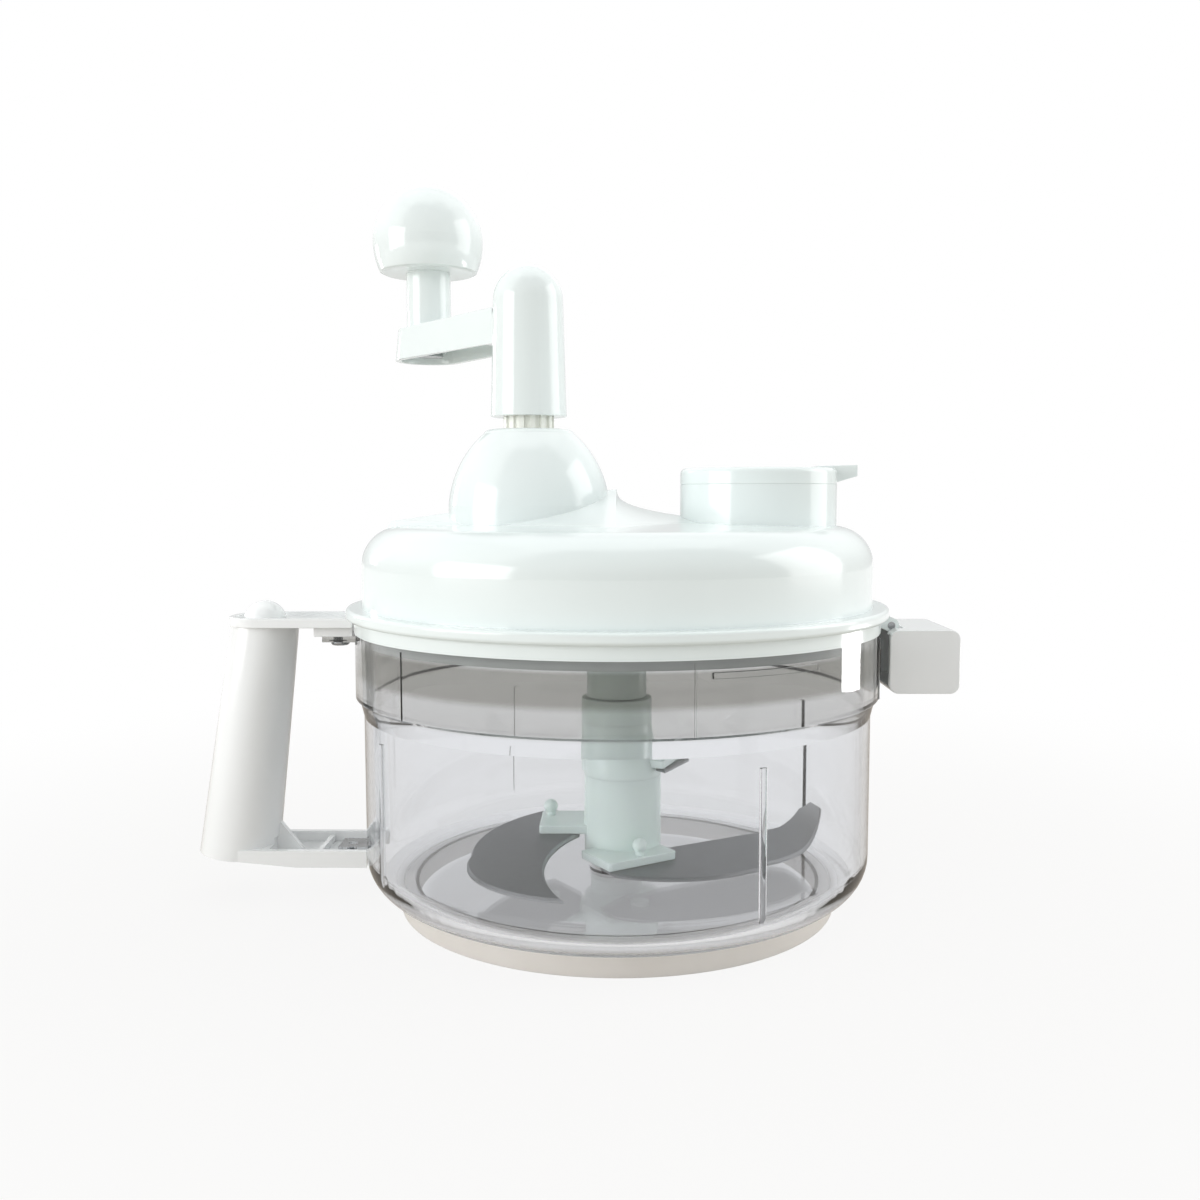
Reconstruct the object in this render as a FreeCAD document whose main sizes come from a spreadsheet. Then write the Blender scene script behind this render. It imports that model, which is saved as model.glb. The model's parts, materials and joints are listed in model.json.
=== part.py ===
import FreeCAD, Part
import math
import os
import re
import Sketcher

# Hand-cranked vegetable shredder: a clear bowl with a lid, a crank over an offset gear dome and a
# blade column that turns on a pin in the bowl. Millimetres, +Z up, the origin on the bowl's axis at
# the surface it stands on, +X towards the side latch and -X towards the handle.

doc = FreeCAD.newDocument("VegetableShredder")
sheet = doc.addObject("Spreadsheet::Sheet", "Sizes")

sizes = [
    ("footInset", 10.7, "distance of the non-slip ring's edge inside the body's"),
    ("footWidth", 5.6, "radial width of the non-slip ring"),
    ("footHeight", 6.2, "height of the non-slip ring, which the bowl stands on"),
    ("tongueWidth", 3.0, "width of the tongue"),
    ("tongueHeight", 1.0, "height of the tongue above the ring"),
    ("tongueGap", 0.15, "gap between the tongue and the bowl's groove"),
    ("bowlRadius", 80.7, "outer radius of the bowl's body"),
    ("bowlWall", 2.0, "wall of the bowl"),
    ("bowlFloor", 2.8, "floor of the bowl"),
    ("bowlCorner", 12.0, "outer radius of the bowl's bottom corner"),
    ("bandProud", 2.5, "how far the rim band stands out from the body"),
    ("bandBottom", 67.8, "lower edge of the rim band"),
    ("bandHeight", 21.0, "height of the rim band, up to the lid's skirt"),
    ("bandLip", 0.9, "height of the band's lower bevel"),
    ("bandTaper", 5.0, "height of the taper from the body to the band"),
    ("rimProud", 0.4, "how far the rim inside the skirt stands out from the body"),
    ("rimStand", 2.8, "height of the rim above the band"),
    ("bossRadius", 9.0, "radius of the boss in the middle of the floor"),
    ("bossHeight", 1.0, "height of that boss"),
    ("ribRadius", 1.3, "radius of the upright ribs inside the bowl"),
    ("ribBury", 0.3, "depth of a rib's centre line in the wall"),
    ("ribBottom", 15.2, "lower end of the upright ribs"),
    ("ribClear", 4.8, "gap between the upright ribs and the body's taper"),
    ("ribStart", 30.0, "azimuth of the first upright rib"),
    ("ribCount", 4, "number of upright ribs"),
    ("beadRadius", 0.35, "radius of the fine beads on the band"),
    ("beadStart", -75.6, "azimuth of the first bead"),
    ("beadCount", 6, "number of beads"),
    ("rampStart", -72.5, "azimuth where the lock rib starts"),
    ("rampSweep", 23.0, "angle that the lock rib covers"),
    ("rampDrop", 4.9, "distance of the lock rib below the band's top"),
    ("rampHeight", 1.6, "height of the lock rib"),
    ("rampDepth", 1.2, "how far the lock rib stands out"),
    ("lugBury", 1.2, "how deep a lug starts inside the wall"),
    ("upperLugDrop", 2.5, "distance of the handle's upper lug below the band's top"),
    ("upperLugLength", 10.8, "length of the handle's upper lug outside the band"),
    ("upperLugWidth", 16.0, "width of the handle's upper lug"),
    ("upperLugThick", 2.0, "thickness of the handle's upper lug"),
    ("lowerLugLength", 10.3, "length of the handle's lower lug outside the body"),
    ("lowerLugWidth", 10.0, "width of the handle's lower lug"),
    ("lowerLugThick", 2.6, "thickness of the handle's lower lug"),
    ("catchProud", 1.1, "how far the latch's catch stands out from the band"),
    ("catchWidth", 12.0, "width of the latch's catch"),
    ("catchHeight", 9.4, "height of the latch's catch"),
    ("catchDrop", 6.8, "distance of the latch's catch below the band's top"),
    ("spindleRadius", 3.0, "radius of the steel spindle pin"),
    ("spindleTop", 40.0, "upper end of the spindle pin"),
    ("spindleSeat", 1.2, "bowl floor left under the spindle pin"),
    ("pressGap", 0.01, "radial gap of a press fit"),
    ("runningGap", 0.06, "radial gap of a running fit"),
    ("looseGap", 0.3, "gap between parts that move past each other"),
    ("washerThick", 0.6, "thickness of the washers"),
    ("washerRadius", 7.5, "outer radius of the small washers"),
    ("columnFoot", 8.5, "radius of the column below its upper blade"),
    ("columnRadius", 11.4, "radius of the blade column's sleeve"),
    ("columnTop", 66.0, "top of the blade column"),
    ("socketWidth", 13.4, "hexagon socket in the column, across flats"),
    ("socketDepth", 19.0, "depth of the hexagon socket"),
    ("plateThick", 2.7, "thickness of a blade's clamp plate"),
    ("plateInner", 6.0, "inner end of a clamp plate, inside the column"),
    ("plateRound", 1.2, "corner radius of a clamp plate"),
    ("bladeThick", 1.2, "thickness of the blades"),
    ("sweptPlateAngle", -57.0, "azimuth of the swept blade's clamp plate"),
    ("sweptPlateReach", 22.8, "outer end of that plate"),
    ("sweptPlateRight", 17.2, "reach of that plate to its right"),
    ("sweptPlateLeft", 7.9, "reach of that plate to its left"),
    ("sweptHeight", 15.0, "underside of the swept blade"),
    ("sidePlateAngle", 180.0, "azimuth of the side blade's clamp plate"),
    ("sidePlateReach", 25.0, "outer end of that plate"),
    ("sidePlateRight", 11.0, "reach of that plate to its right"),
    ("sidePlateLeft", 8.0, "reach of that plate to its left"),
    ("sideHeight", 21.0, "underside of the side blade"),
    ("upperPlateAngle", -21.0, "azimuth of the upper blade's clamp plate"),
    ("upperPlateReach", 18.3, "outer end of that plate"),
    ("upperPlateRight", 6.0, "reach of that plate to its right"),
    ("upperPlateLeft", 10.0, "reach of that plate to its left"),
    ("upperHeight", 43.3, "underside of the upper blade"),
    ("sleeveRadius", 12.4, "radius of the thick sleeve between the upper and the swept blade"),
    ("sleeveShift", 3.6, "how far that sleeve's centre lies towards the swept blade's plate"),
    ("pegRadius", 1.5, "radius of a blade peg"),
    ("pegBall", 2.3, "radius of a peg's ball head"),
    ("pegNeck", 1.2, "height of a peg's neck above its plate"),
    ("pegFlange", 2.8, "radius of a peg's flat head"),
    ("pegFlangeThick", 1.0, "thickness of that head"),
    ("sweptPegReach", 19.6, "distance of the swept blade's peg from the axis, along its plate"),
    ("sweptPegSide", -4.0, "offset of that peg across its plate"),
    ("sidePegReach", 22.0, "distance of the side blade's peg from the axis, along its plate"),
    ("sidePegSide", -6.0, "offset of that peg across its plate"),
    ("upperPegReach", 15.5, "distance of the upper blade's peg from the axis, along its plate"),
    ("upperPegSide", 3.0, "offset of that peg across its plate"),
    ("sideShoulderArc", 60.0, "radius of the side blade's edge from its shoulder"),
    ("sideBellyArc", 35.5, "radius of the side blade's edge towards its tip"),
    ("sideBackArc", 66.0, "radius of the side blade's hollow back"),
    ("upperShoulderArc", 130.0, "radius of the upper blade's edge"),
    ("upperBackArc", 197.0, "radius of the upper blade's back"),
    ("sweptFrontArc", 40.0, "radius of the swept blade's edge beside its plate"),
    ("sweptBellyArc", 67.0, "radius of the swept blade's edge towards its tip"),
    ("sweptTipRound", 3.0, "corner radius of the swept blade's tip"),
    ("bendAngle", 62.0, "angle that the swept blade's tip is bent up"),
    ("bendRadius", 18.6, "outer radius of that bend"),
    ("bendStart", 55.0, "distance from the axis where the bend starts"),
    ("bendAzimuth", 15.0, "azimuth that the bend faces"),
    ("gearOffset", 28.0, "distance between the bowl's axis and the crank's axis"),
    ("gearModule", 1.0, "module of the gear pair"),
    ("crankTeeth", 40, "teeth of the crank gear"),
    ("gearLift", 5.0, "height of the gear pair over the gear cover's underside"),
    ("gearThick", 8.0, "thickness of the gears"),
    ("gearBacklash", 0.16, "backlash at the pitch circle"),
    ("webHoleRadius", 3.2, "radius of the lightening holes in the crank gear"),
    ("webHoleCircle", 12.8, "circle of the lightening holes"),
    ("webHoleCount", 6, "number of lightening holes"),
    ("shaftRadius", 8.1, "radius of the crank shaft's bearing"),
    ("shaftShoulder", 10.0, "radius of the crank shaft's shoulder"),
    ("shaftHex", 10.0, "hexagon of the crank shaft, across flats"),
    ("shaftEnd", 4.0, "radius of the crank shaft's lower journal"),
    ("shaftReach", 30.1, "length of the crank shaft inside the hub"),
    ("splineCore", 7.2, "radius between the shaft's splines"),
    ("splineRadius", 8.0, "radius over the shaft's splines"),
    ("splineWidth", 1.6, "width of a spline"),
    ("splineCount", 14, "number of splines"),
    ("hexGap", 0.05, "gap round a fixed hexagon, each side"),
    ("boltRadius", 2.0, "radius of the crank bolt"),
    ("boltHead", 3.8, "radius of the crank bolt's head"),
    ("boltHeadThick", 2.4, "thickness of the crank bolt's head"),
    ("boltGrip", 10.0, "length of the crank bolt inside the hub's end"),
    ("bushWall", 1.6, "wall of the bearing bushes"),
    ("bushFlange", 0.6, "thickness of a bush's flange"),
    ("bushRim", 1.9, "how far a bush's flange stands out"),
    ("lidWall", 2.2, "wall of the lid"),
    ("skirtProud", 0.2, "how far the lid's skirt stands out from the band"),
    ("skirtWall", 2.0, "wall of the lid's skirt"),
    ("flangeProud", 2.4, "how far the lid's flange stands out from its skirt"),
    ("sealThick", 1.4, "thickness of the lid's seal"),
    ("flangeThick", 3.4, "thickness of the lid's flange"),
    ("flangeRound", 1.1, "edge radius of the lid's flange"),
    ("drumStep", 2.6, "how far the lid's drum stands back from its skirt"),
    ("drumHeight", 24.5, "height where the drum's side would meet its top, above the flange"),
    ("shoulderRound", 12.0, "radius of the lid's shoulder"),
    ("crownRise", 2.5, "rise of the lid's top from there to the bowl's axis"),
    ("plugDrop", 3.0, "reach of the lid's inner plug ring below the band's top"),
    ("plugGap", 0.4, "gap between the plug ring and the bowl"),
    ("domeRadius", 25.8, "radius of the gear dome at its waist"),
    ("domeStand", 4.4, "height of the dome's waist above the lid's top"),
    ("domeArc", 33.2, "radius of the dome's side"),
    ("domeShoulder", 14.6, "radius where the dome turns to its flat top"),
    ("domeRound", 2.6, "radius of that turn"),
    ("domeHeight", 24.0, "height of the dome above its waist"),
    ("domeNeck", 12.6, "radius of the flat on the dome"),
    ("domeLip", 1.5, "thickness of the lip over the crank's bush"),
    ("bearingDepth", 11.3, "depth of the dome's bearing boss"),
    ("bearingWall", 2.4, "wall of the dome's bearing boss"),
    ("peakRise", 9.6, "height of the fairing's peak above the lid's top"),
    ("crestFall", 0.14, "fall of the fairing's crest towards the handle"),
    ("creaseFall", 0.23, "fall of the fairing's crease towards the front and back"),
    ("fairingSink", 0.6, "depth below the lid's top where the fairing leaves it"),
    ("fairingBury", 3.9, "depth below the lid's top where the fairing starts"),
    ("noseSlope", 1.9, "length of the crest's slanted end"),
    ("fairingWall", 2.3, "wall of the fairing"),
    ("ribPlate", 2.0, "thickness of the rib beside the pinion's boss"),
    ("bossRibReach", 14.0, "reach of that rib from the bowl's axis"),
    ("pinionBoss", 5.6, "radius of the lid's boss for the pinion"),
    ("screwBoss", 3.0, "radius of the lid's screw bosses"),
    ("chuteCentre", 45.3, "distance of the feed chute from the bowl's axis"),
    ("chuteRadius", 24.8, "outer radius of the feed chute"),
    ("chuteWall", 2.2, "wall of the feed chute"),
    ("chuteRise", 10.9, "height of the feed chute above the lid's top"),
    ("chuteDrop", 11.4, "reach of the feed chute below the lid's top"),
    ("capThick", 5.1, "height of the feed cap above the chute"),
    ("capRound", 1.6, "edge radius of the feed cap"),
    ("capWall", 2.0, "wall of the feed cap"),
    ("capPlug", 10.0, "depth of the feed cap's plug"),
    ("capPlugGap", 0.6, "gap between the plug and the chute"),
    ("capSealHeight", 2.0, "height of the feed cap's seal"),
    ("capSealDepth", 0.6, "depth of the seal's groove"),
    ("tabInset", 17.7, "distance of the lift tab's root from the chute's axis"),
    ("tabReach", 30.3, "distance of the lift tab's end from the chute's axis"),
    ("tabWidth", 15.0, "width of the lift tab"),
    ("tabThick", 3.2, "thickness of the lift tab at its end"),
    ("tabRise", 0.6, "height of the lift tab above the cap"),
    ("latchPinProud", 3.2, "distance of the latch's pin from the band"),
    ("latchPinRise", 1.2, "height of the latch's pin above the band"),
    ("latchPinRadius", 1.2, "radius of the latch's pin"),
    ("knuckleRadius", 2.4, "radius of the hinge knuckles"),
    ("knuckleWidth", 14.0, "width of the latch's knuckle"),
    ("earWidth", 3.0, "width of the lid's hinge ears"),
    ("latchDepth", 21.8, "depth of the latch, away from the bowl"),
    ("latchHeight", 19.9, "height of the latch"),
    ("latchRise", 0.5, "height of the latch's top above the band"),
    ("latchWidth", 34.0, "width of the latch"),
    ("latchRound", 3.0, "corner radius of the latch"),
    ("latchWall", 2.0, "wall of the latch"),
    ("latchNotch", 4.0, "notch in the latch round the hinge"),
    ("coverBigRadius", 25.5, "outer radius of the gear cover round the crank gear"),
    ("coverSmallRadius", 12.6, "outer radius of the gear cover round the pinion"),
    ("coverWall", 2.0, "wall of the gear cover"),
    ("coverDrop", 20.4, "distance of the gear cover's underside below the lid's top"),
    ("coverDepth", 14.6, "height of the gear cover"),
    ("coverEarRadius", 3.6, "radius of the gear cover's screw ears"),
    ("coverEarSide", 29.2, "distance of the side ears from the crank's axis"),
    ("coverEarFront", 16.1, "distance of the front ear from the bowl's axis"),
    ("coverBossRadius", 8.0, "radius of the gear cover's boss under the crank gear"),
    ("coverBossDepth", 3.5, "how far the gear cover's bosses stand down"),
    ("thrustGap", 0.3, "gap under the gears"),
    ("screwRadius", 1.5, "radius of the small screws"),
    ("screwHead", 3.0, "radius of the small screws' heads"),
    ("screwHeadThick", 1.8, "thickness of the small screws' heads"),
    ("screwSlot", 0.8, "width of the screws' cross recess"),
    ("coverScrewLength", 10.0, "length of the gear cover's screws"),
    ("pinionJournal", 7.0, "radius of the pinion's lower journal"),
    ("pinionTip", 3.5, "radius of the pinion's upper journal"),
    ("pinionTipLength", 16.0, "height of the pinion, from its teeth's underside to its upper end"),
    ("pinionHex", 9.0, "hexagon of the pinion, across flats"),
    ("pinionHexLength", 20.0, "length of the pinion's hexagon below its teeth"),
    ("driveRadius", 9.7, "outer radius of the drive shaft"),
    ("driverWidth", 13.0, "hexagon of the drive shaft, across flats"),
    ("driverDepth", 18.0, "depth of the drive shaft's hexagon in the column"),
    ("driverBore", 3.2, "radius of the bore for the drive screw's head"),
    ("driveWeb", 3.8, "thickness of the web that the drive screw clamps"),
    ("driveScrewLength", 12.0, "length of the drive screw"),
    ("crankAngle", 127.0, "azimuth of the crank's arm at rest"),
    ("crankReach", 66.4, "distance of the knob from the crank's axis"),
    ("hubRadius", 12.1, "radius of the hub at its lower end"),
    ("hubTopRadius", 11.1, "radius of the hub where its dome begins"),
    ("neckHeight", 4.1, "height of the open neck between the dome and the hub"),
    ("hubHeight", 36.7, "height of the hub up to its dome"),
    ("hubDomeHeight", 10.8, "height of the hub's dome"),
    ("armStand", 23.3, "height of the arm's underside above the hub's lower end"),
    ("armHeight", 11.3, "height of the arm"),
    ("armRoot", 10.4, "half width of the arm at the hub"),
    ("armEnd", 12.2, "radius of the arm's round end, under the knob"),
    ("armDraft", 6.0, "draft of the arm's sides"),
    ("armWall", 2.0, "wall of the arm"),
    ("armBossRadius", 6.0, "radius of the boss round the knob's pin"),
    ("knobPinRadius", 3.0, "radius of the knob's pin"),
    ("knobPinHead", 4.8, "radius of the knob pin's head"),
    ("knobPinHeadThick", 1.6, "thickness of the knob pin's head"),
    ("knobPinReach", 14.6, "reach of the knob's pin into the ball"),
    ("stemRadius", 7.9, "radius of the knob's stem"),
    ("stemHeight", 19.9, "height of the knob's flat underside above the arm"),
    ("knobFlatRadius", 17.3, "radius of the knob's flat underside"),
    ("knobRadius", 19.6, "radius of the knob's ball"),
    ("knobHeight", 30.6, "height of the knob's ball"),
    ("gripLean", 10.6, "how much further out the grip's foot is than its top"),
    ("gripStand", 31.2, "distance of the grip's top from the band"),
    ("gripBottomRadius", 12.9, "radius of the grip's foot"),
    ("gripTopRadius", 10.8, "radius of the grip's top"),
    ("gripWall", 2.6, "wall of the hollow grip"),
    ("gripSolid", 33.3, "solid part of the grip below the top arm"),
    ("trayBottom", 12.0, "underside of the handle's lower bracket"),
    ("trayHeight", 5.4, "height of the handle's lower bracket"),
    ("trayFloor", 2.0, "floor of the lower bracket"),
    ("trayRise", 4.4, "how far the grip's foot rises towards its outer end"),
    ("trayWidth", 25.0, "width of the lower bracket"),
    ("trayWall", 2.2, "wall of the lower bracket"),
    ("trayGap", 0.4, "gap between the handle and the bowl"),
    ("trayRibStand", 16.3, "distance of the bracket's cross rib from the body"),
    ("trayRibWidth", 1.4, "width of that cross rib"),
    ("gussetLength", 9.0, "length of the gusset between the grip and the bracket"),
    ("gussetHeight", 8.0, "height of that gusset"),
    ("armPlateRise", 0.5, "height of the handle's top arm above the band"),
    ("armPlateThick", 3.0, "thickness of the handle's top arm"),
    ("armPlateWidth", 25.0, "width of the handle's top arm"),
    ("armPlateRound", 11.0, "corner radius of the top arm at the grip"),
    ("armPlateRecess", 1.2, "depth of the recess in the top arm"),
    ("armPlateRim", 2.0, "rim round that recess"),
    ("armPlateGap", 0.8, "gap between the top arm and the lid's skirt"),
    ("armFootLength", 12.0, "length of the top arm's foot on the bowl's lug"),
    ("armFootWidth", 20.0, "width of that foot"),
    ("capDomeRadius", 6.6, "radius of the cap over the tie screw"),
    ("capDomeHeight", 5.0, "height of that cap"),
    ("capDomeLip", 1.0, "thickness of the cap's lip"),
    ("tieHead", 4.0, "radius of the tie screw's head"),
    ("tieHeadThick", 1.7, "thickness of the tie screw's head"),
    ("tieLedge", 1.0, "ledge under the tie screw's head"),
    ("tieRadius", 2.0, "radius of the tie screw"),
    ("tieLength", 30.0, "length of the tie screw"),
    ("lugScrewInset", 4.0, "distance of the upper handle screw from its lug's end"),
    ("lowerScrewInset", 3.8, "distance of the lower handle screw from its lug's end"),
    ("lugScrewLength", 5.4, "length of the upper handle screw"),
    ("lowerScrewLength", 4.2, "length of the lower handle screw"),
]

# the corners of each blade at rest, seen from above, as distances along the bowl's x and y
bladeCorners = {
    "side": (
        ("HeelFront", -12.0, -7.0),
        ("HeelBack", -12.0, 10.0),
        ("Shoulder", -22.0, 24.0),
        ("Belly", -44.0, -30.0),
        ("Tip", -14.0, -70.0),
    ),
    "upper": (
        ("HeelFront", 12.0, -8.0),
        ("CornerFront", 15.4, -12.5),
        ("CornerRight", 24.0, 4.7),
        ("Shoulder", 21.0, 15.5),
        ("Tip", -49.0, 32.7),
        ("Throat", 8.0, 13.5),
        ("HeelBack", 12.4, 6.0),
    ),
    "swept": (
        ("HeelFront", 3.0, -9.8),
        ("CornerLeft", -5.0, -22.0),
        ("CornerFront", 0.0, -30.0),
        ("Belly", 49.0, -17.0),
        ("Tip", 71.0, 17.0),
        ("TipBack", 64.0, 25.0),
        ("Throat", 13.0, -4.0),
        ("HeelRight", 8.6, -8.6),
    ),
}
for name, corners in bladeCorners.items():
    for corner, x, y in corners:
        sizes.append((f"{name}{corner}X", x, f"{corner} of the {name} blade, along x"))
        sizes.append((f"{name}{corner}Y", y, f"{corner} of the {name} blade, along y"))

for row, (alias, value, note) in enumerate(sizes, start=1):
    sheet.set(f"A{row}", note)
    sheet.set(f"B{row}", str(value))
    sheet.setAlias(f"B{row}", alias)
doc.recompute()

# Lengths that follow from the sizes. A formula may name them as it names a size.
follows = {
    # radii around the bowl's axis
    "footRadius": "bowlRadius - footInset",
    "tongueRadius": "footRadius - footWidth / 2",
    "bandRadius": "bowlRadius + bandProud",
    "rimRadius": "bowlRadius + rimProud",
    "skirtRadius": "bandRadius + skirtProud",
    "flangeRadius": "skirtRadius + flangeProud",
    "drumRadius": "skirtRadius - drumStep",
    # heights of the bowl's and the lid's edges
    "bandTop": "bandBottom + bandHeight",
    "rimTop": "bandTop + rimStand",
    "ribTop": "bandBottom - bandTaper - ribClear",
    "rampBottom": "bandTop - rampDrop",
    "plugBottom": "bandTop - plugDrop",
    "flangeBottom": "rimTop + sealThick",
    "shoulderHeight": "flangeBottom + flangeThick + drumHeight",
    "crownHeight": "shoulderHeight + crownRise",
    # the dome, its fairing and the chute
    "domeCentre": "crownHeight + domeStand",
    "domeTop": "domeCentre + domeHeight",
    "bearingBottom": "domeTop - bearingDepth",
    "peakHeight": "crownHeight + peakRise",
    "fairingStart": "crownHeight - fairingSink",
    "fairingRoot": "crownHeight - fairingBury",
    "chuteTop": "crownHeight + chuteRise",
    "chuteBottom": "crownHeight - chuteDrop",
    "tabStart": "chuteCentre + tabInset",
    "tabEnd": "chuteCentre + tabReach",
    # the gears and their shafts
    "coverBottom": "crownHeight - coverDrop",
    "coverTop": "coverBottom + coverDepth",
    "gearBottom": "coverBottom + gearLift",
    "shaftBottom": "coverBottom - coverBossDepth",
    "shaftTop": "hubBottom + shaftReach",
    "pinionTipTop": "gearBottom + pinionTipLength",
    "pinionHexBottom": "gearBottom - pinionHexLength",
    "driverBottom": "columnTop - driverDepth",
    # the crank and its knob
    "hubBottom": "domeTop + neckHeight",
    "hubShoulder": "hubBottom + hubHeight",
    "hubTop": "hubShoulder + hubDomeHeight",
    "armBottom": "hubBottom + armStand",
    "armTop": "armBottom + armHeight",
    "knobFlat": "armTop + stemHeight",
    "knobTop": "knobFlat + knobHeight",
    "knobPinTop": "knobFlat + knobPinReach",
    # the latch and its catch
    "catchReach": "bandRadius + catchProud",
    "catchTop": "bandTop - catchDrop",
    "catchBottom": "catchTop - catchHeight",
    "latchPinX": "bandRadius + latchPinProud",
    "latchPinHeight": "bandTop + latchPinRise",
    "latchInner": "catchReach + looseGap",
    "latchOuter": "latchInner + latchDepth",
    "latchTop": "bandTop + latchRise",
    "latchBottom": "latchTop - latchHeight",
    # the handle and its lugs
    "upperLugTop": "bandTop - upperLugDrop",
    "upperLugReach": "bandRadius + upperLugLength",
    "lowerLugReach": "bowlRadius + lowerLugLength",
    "lugScrewX": "upperLugReach - lugScrewInset",
    "lowerScrewX": "lowerLugReach - lowerScrewInset",
    "armPlateBottom": "bandTop + armPlateRise",
    "gripTopX": "bandRadius + gripStand",
    "gripBottomX": "gripTopX + gripLean",
    "gripHollowTop": "armPlateBottom - gripSolid",
    "trayTop": "trayBottom + trayHeight",
    "trayRibX": "bowlRadius + trayRibStand",
}

pieces = []


def full(text):
    # a formula with the lengths that follow worked out, and the sheet's name before each alias
    names = "|".join(follows)
    while re.search(rf"\b({names})\b", text):
        text = re.sub(rf"\b({names})\b", lambda match: f"({follows[match[0]]})", text)
    return re.sub(r"\b([a-z][A-Za-z]{4,})\b(?!\()", r"Sizes.\1", text)


def number(text):
    return float(sheet.evalExpression(full(text)))


def bind(thing, place, text):
    thing.setExpression(place, full(text))


def newBody(label, x=None, turn=None):
    body = doc.addObject("PartDesign::Body", label)
    body.Label = label
    pieces.append(body)
    if turn:
        body.Placement.Rotation = FreeCAD.Rotation(FreeCAD.Vector(0, 0, 1), number(turn))
        bind(body, "Placement.Rotation.Angle", turn)
    if x:
        bind(body, "Placement.Base.x", x)
    return body


def originFeature(body, role):
    return next(feature for feature in body.Origin.OriginFeatures if feature.Role == role)


def newSketch(body, name, plane, lift=None, shift=None, turn=None):
    # lift moves the sketch along its normal, shift along its own x, and turn swings it about +Z
    sketch = body.newObject("Sketcher::SketchObject", name)
    sketch.AttachmentSupport = [(originFeature(body, plane), "")]
    sketch.MapMode = "FlatFace"
    if turn:
        axis = FreeCAD.Vector(0, 0, 1) if plane == "XY_Plane" else FreeCAD.Vector(0, 1, 0)
        sketch.AttachmentOffset = FreeCAD.Placement(
            FreeCAD.Vector(0, 0, 0), FreeCAD.Rotation(axis, number(turn))
        )
        bind(sketch, "AttachmentOffset.Rotation.Angle", turn)
    if lift:
        bind(sketch, "AttachmentOffset.Base.z", lift)
    if shift:
        bind(sketch, "AttachmentOffset.Base.x", shift)
    return sketch


def pin(sketch, geometry, end, x, y):
    # hold one point at (x, y); a plain 0 puts it on the axis
    for axis, kind, text in ((-2, "DistanceX", x), (-1, "DistanceY", y)):
        if text == "0":
            sketch.addConstraint(Sketcher.Constraint("PointOnObject", geometry, end, axis))
        else:
            index = sketch.addConstraint(
                Sketcher.Constraint(kind, -1, 1, geometry, end, number(text))
            )
            bind(sketch, f"Constraints[{index}]", text)


def holdRadius(sketch, geometry, text):
    index = sketch.addConstraint(Sketcher.Constraint("Radius", geometry, number(text)))
    bind(sketch, f"Constraints[{index}]", text)


def drawCircle(sketch, x, y, radius):
    centre = FreeCAD.Vector(number(x), number(y), 0)
    circle = sketch.addGeometry(
        Part.Circle(centre, FreeCAD.Vector(0, 0, 1), number(radius)), False
    )
    pin(sketch, circle, 3, x, y)
    holdRadius(sketch, circle, radius)


def addArc(sketch, start, end, centre, leftward):
    # an arc from start to end; returns its index and which of its ends are the start and the end
    first, last = (start, end) if leftward else (end, start)
    angles = [math.atan2(point.y - centre.y, point.x - centre.x) for point in (first, last)]
    if angles[1] <= angles[0]:
        angles[1] += 2 * math.pi
    circle = Part.Circle(centre, FreeCAD.Vector(0, 0, 1), (start - centre).Length)
    index = sketch.addGeometry(Part.ArcOfCircle(circle, angles[0], angles[1]), False)
    return (index, 1, 2) if leftward else (index, 2, 1)


def leftOf(vector):
    return FreeCAD.Vector(-vector.y, vector.x, 0)


def drawOutline(sketch, corners):
    # A closed outline. A corner is (x, y), (x, y, {"round": r}) for a rounded corner between two
    # straight sides, or (x, y, {"arc": r, "left": bool}) where an arc of radius r leads on to the
    # next corner, with its centre to the left or the right of the way.
    count = len(corners)
    notes = [corner[2] if len(corner) > 2 else {} for corner in corners]
    points = [FreeCAD.Vector(number(corner[0]), number(corner[1]), 0) for corner in corners]
    ways = [(points[(i + 1) % count] - points[i]).normalize() for i in range(count)]
    arrive = list(points)
    leave = list(points)
    rounds = {}
    for i, note in enumerate(notes):
        if "round" not in note:
            continue
        radius = number(note["round"])
        before, after = ways[i - 1], ways[i]
        turn = math.atan2(before.x * after.y - before.y * after.x, before.dot(after))
        cut = radius * math.tan(abs(turn) / 2)
        arrive[i] = points[i] - before * cut
        leave[i] = points[i] + after * cut
        centre = arrive[i] + leftOf(before) * math.copysign(radius, turn)
        rounds[i] = addArc(sketch, arrive[i], leave[i], centre, turn > 0)
    sides = []
    for i, note in enumerate(notes):
        start, end = leave[i], arrive[(i + 1) % count]
        if "arc" in note:
            chord = end - start
            radius = number(note["arc"])
            rise = math.sqrt(radius**2 - (chord.Length / 2) ** 2)
            side = rise if note["left"] else -rise
            centre = start + chord * 0.5 + leftOf(ways[i]) * side
            sides.append(addArc(sketch, start, end, centre, note["left"]))
            holdRadius(sketch, sides[i][0], note["arc"])
        else:
            sides.append((sketch.addGeometry(Part.LineSegment(start, end), False), 1, 2))
    for i, (corner, note) in enumerate(zip(corners, notes)):
        before, after = sides[i - 1], sides[i]
        if i not in rounds:
            sketch.addConstraint(
                Sketcher.Constraint("Coincident", before[0], before[2], after[0], after[1])
            )
            pin(sketch, after[0], after[1], corner[0], corner[1])
            continue
        bend = rounds[i]
        sketch.addConstraint(Sketcher.Constraint("Tangent", before[0], before[2], bend[0], bend[1]))
        sketch.addConstraint(Sketcher.Constraint("Tangent", bend[0], bend[2], after[0], after[1]))
        holdRadius(sketch, bend[0], note["round"])
        mark = sketch.addGeometry(Part.Point(points[i]), True)
        pin(sketch, mark, 1, corner[0], corner[1])
        for side in (before, after):
            sketch.addConstraint(Sketcher.Constraint("PointOnObject", mark, 1, side[0]))


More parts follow.
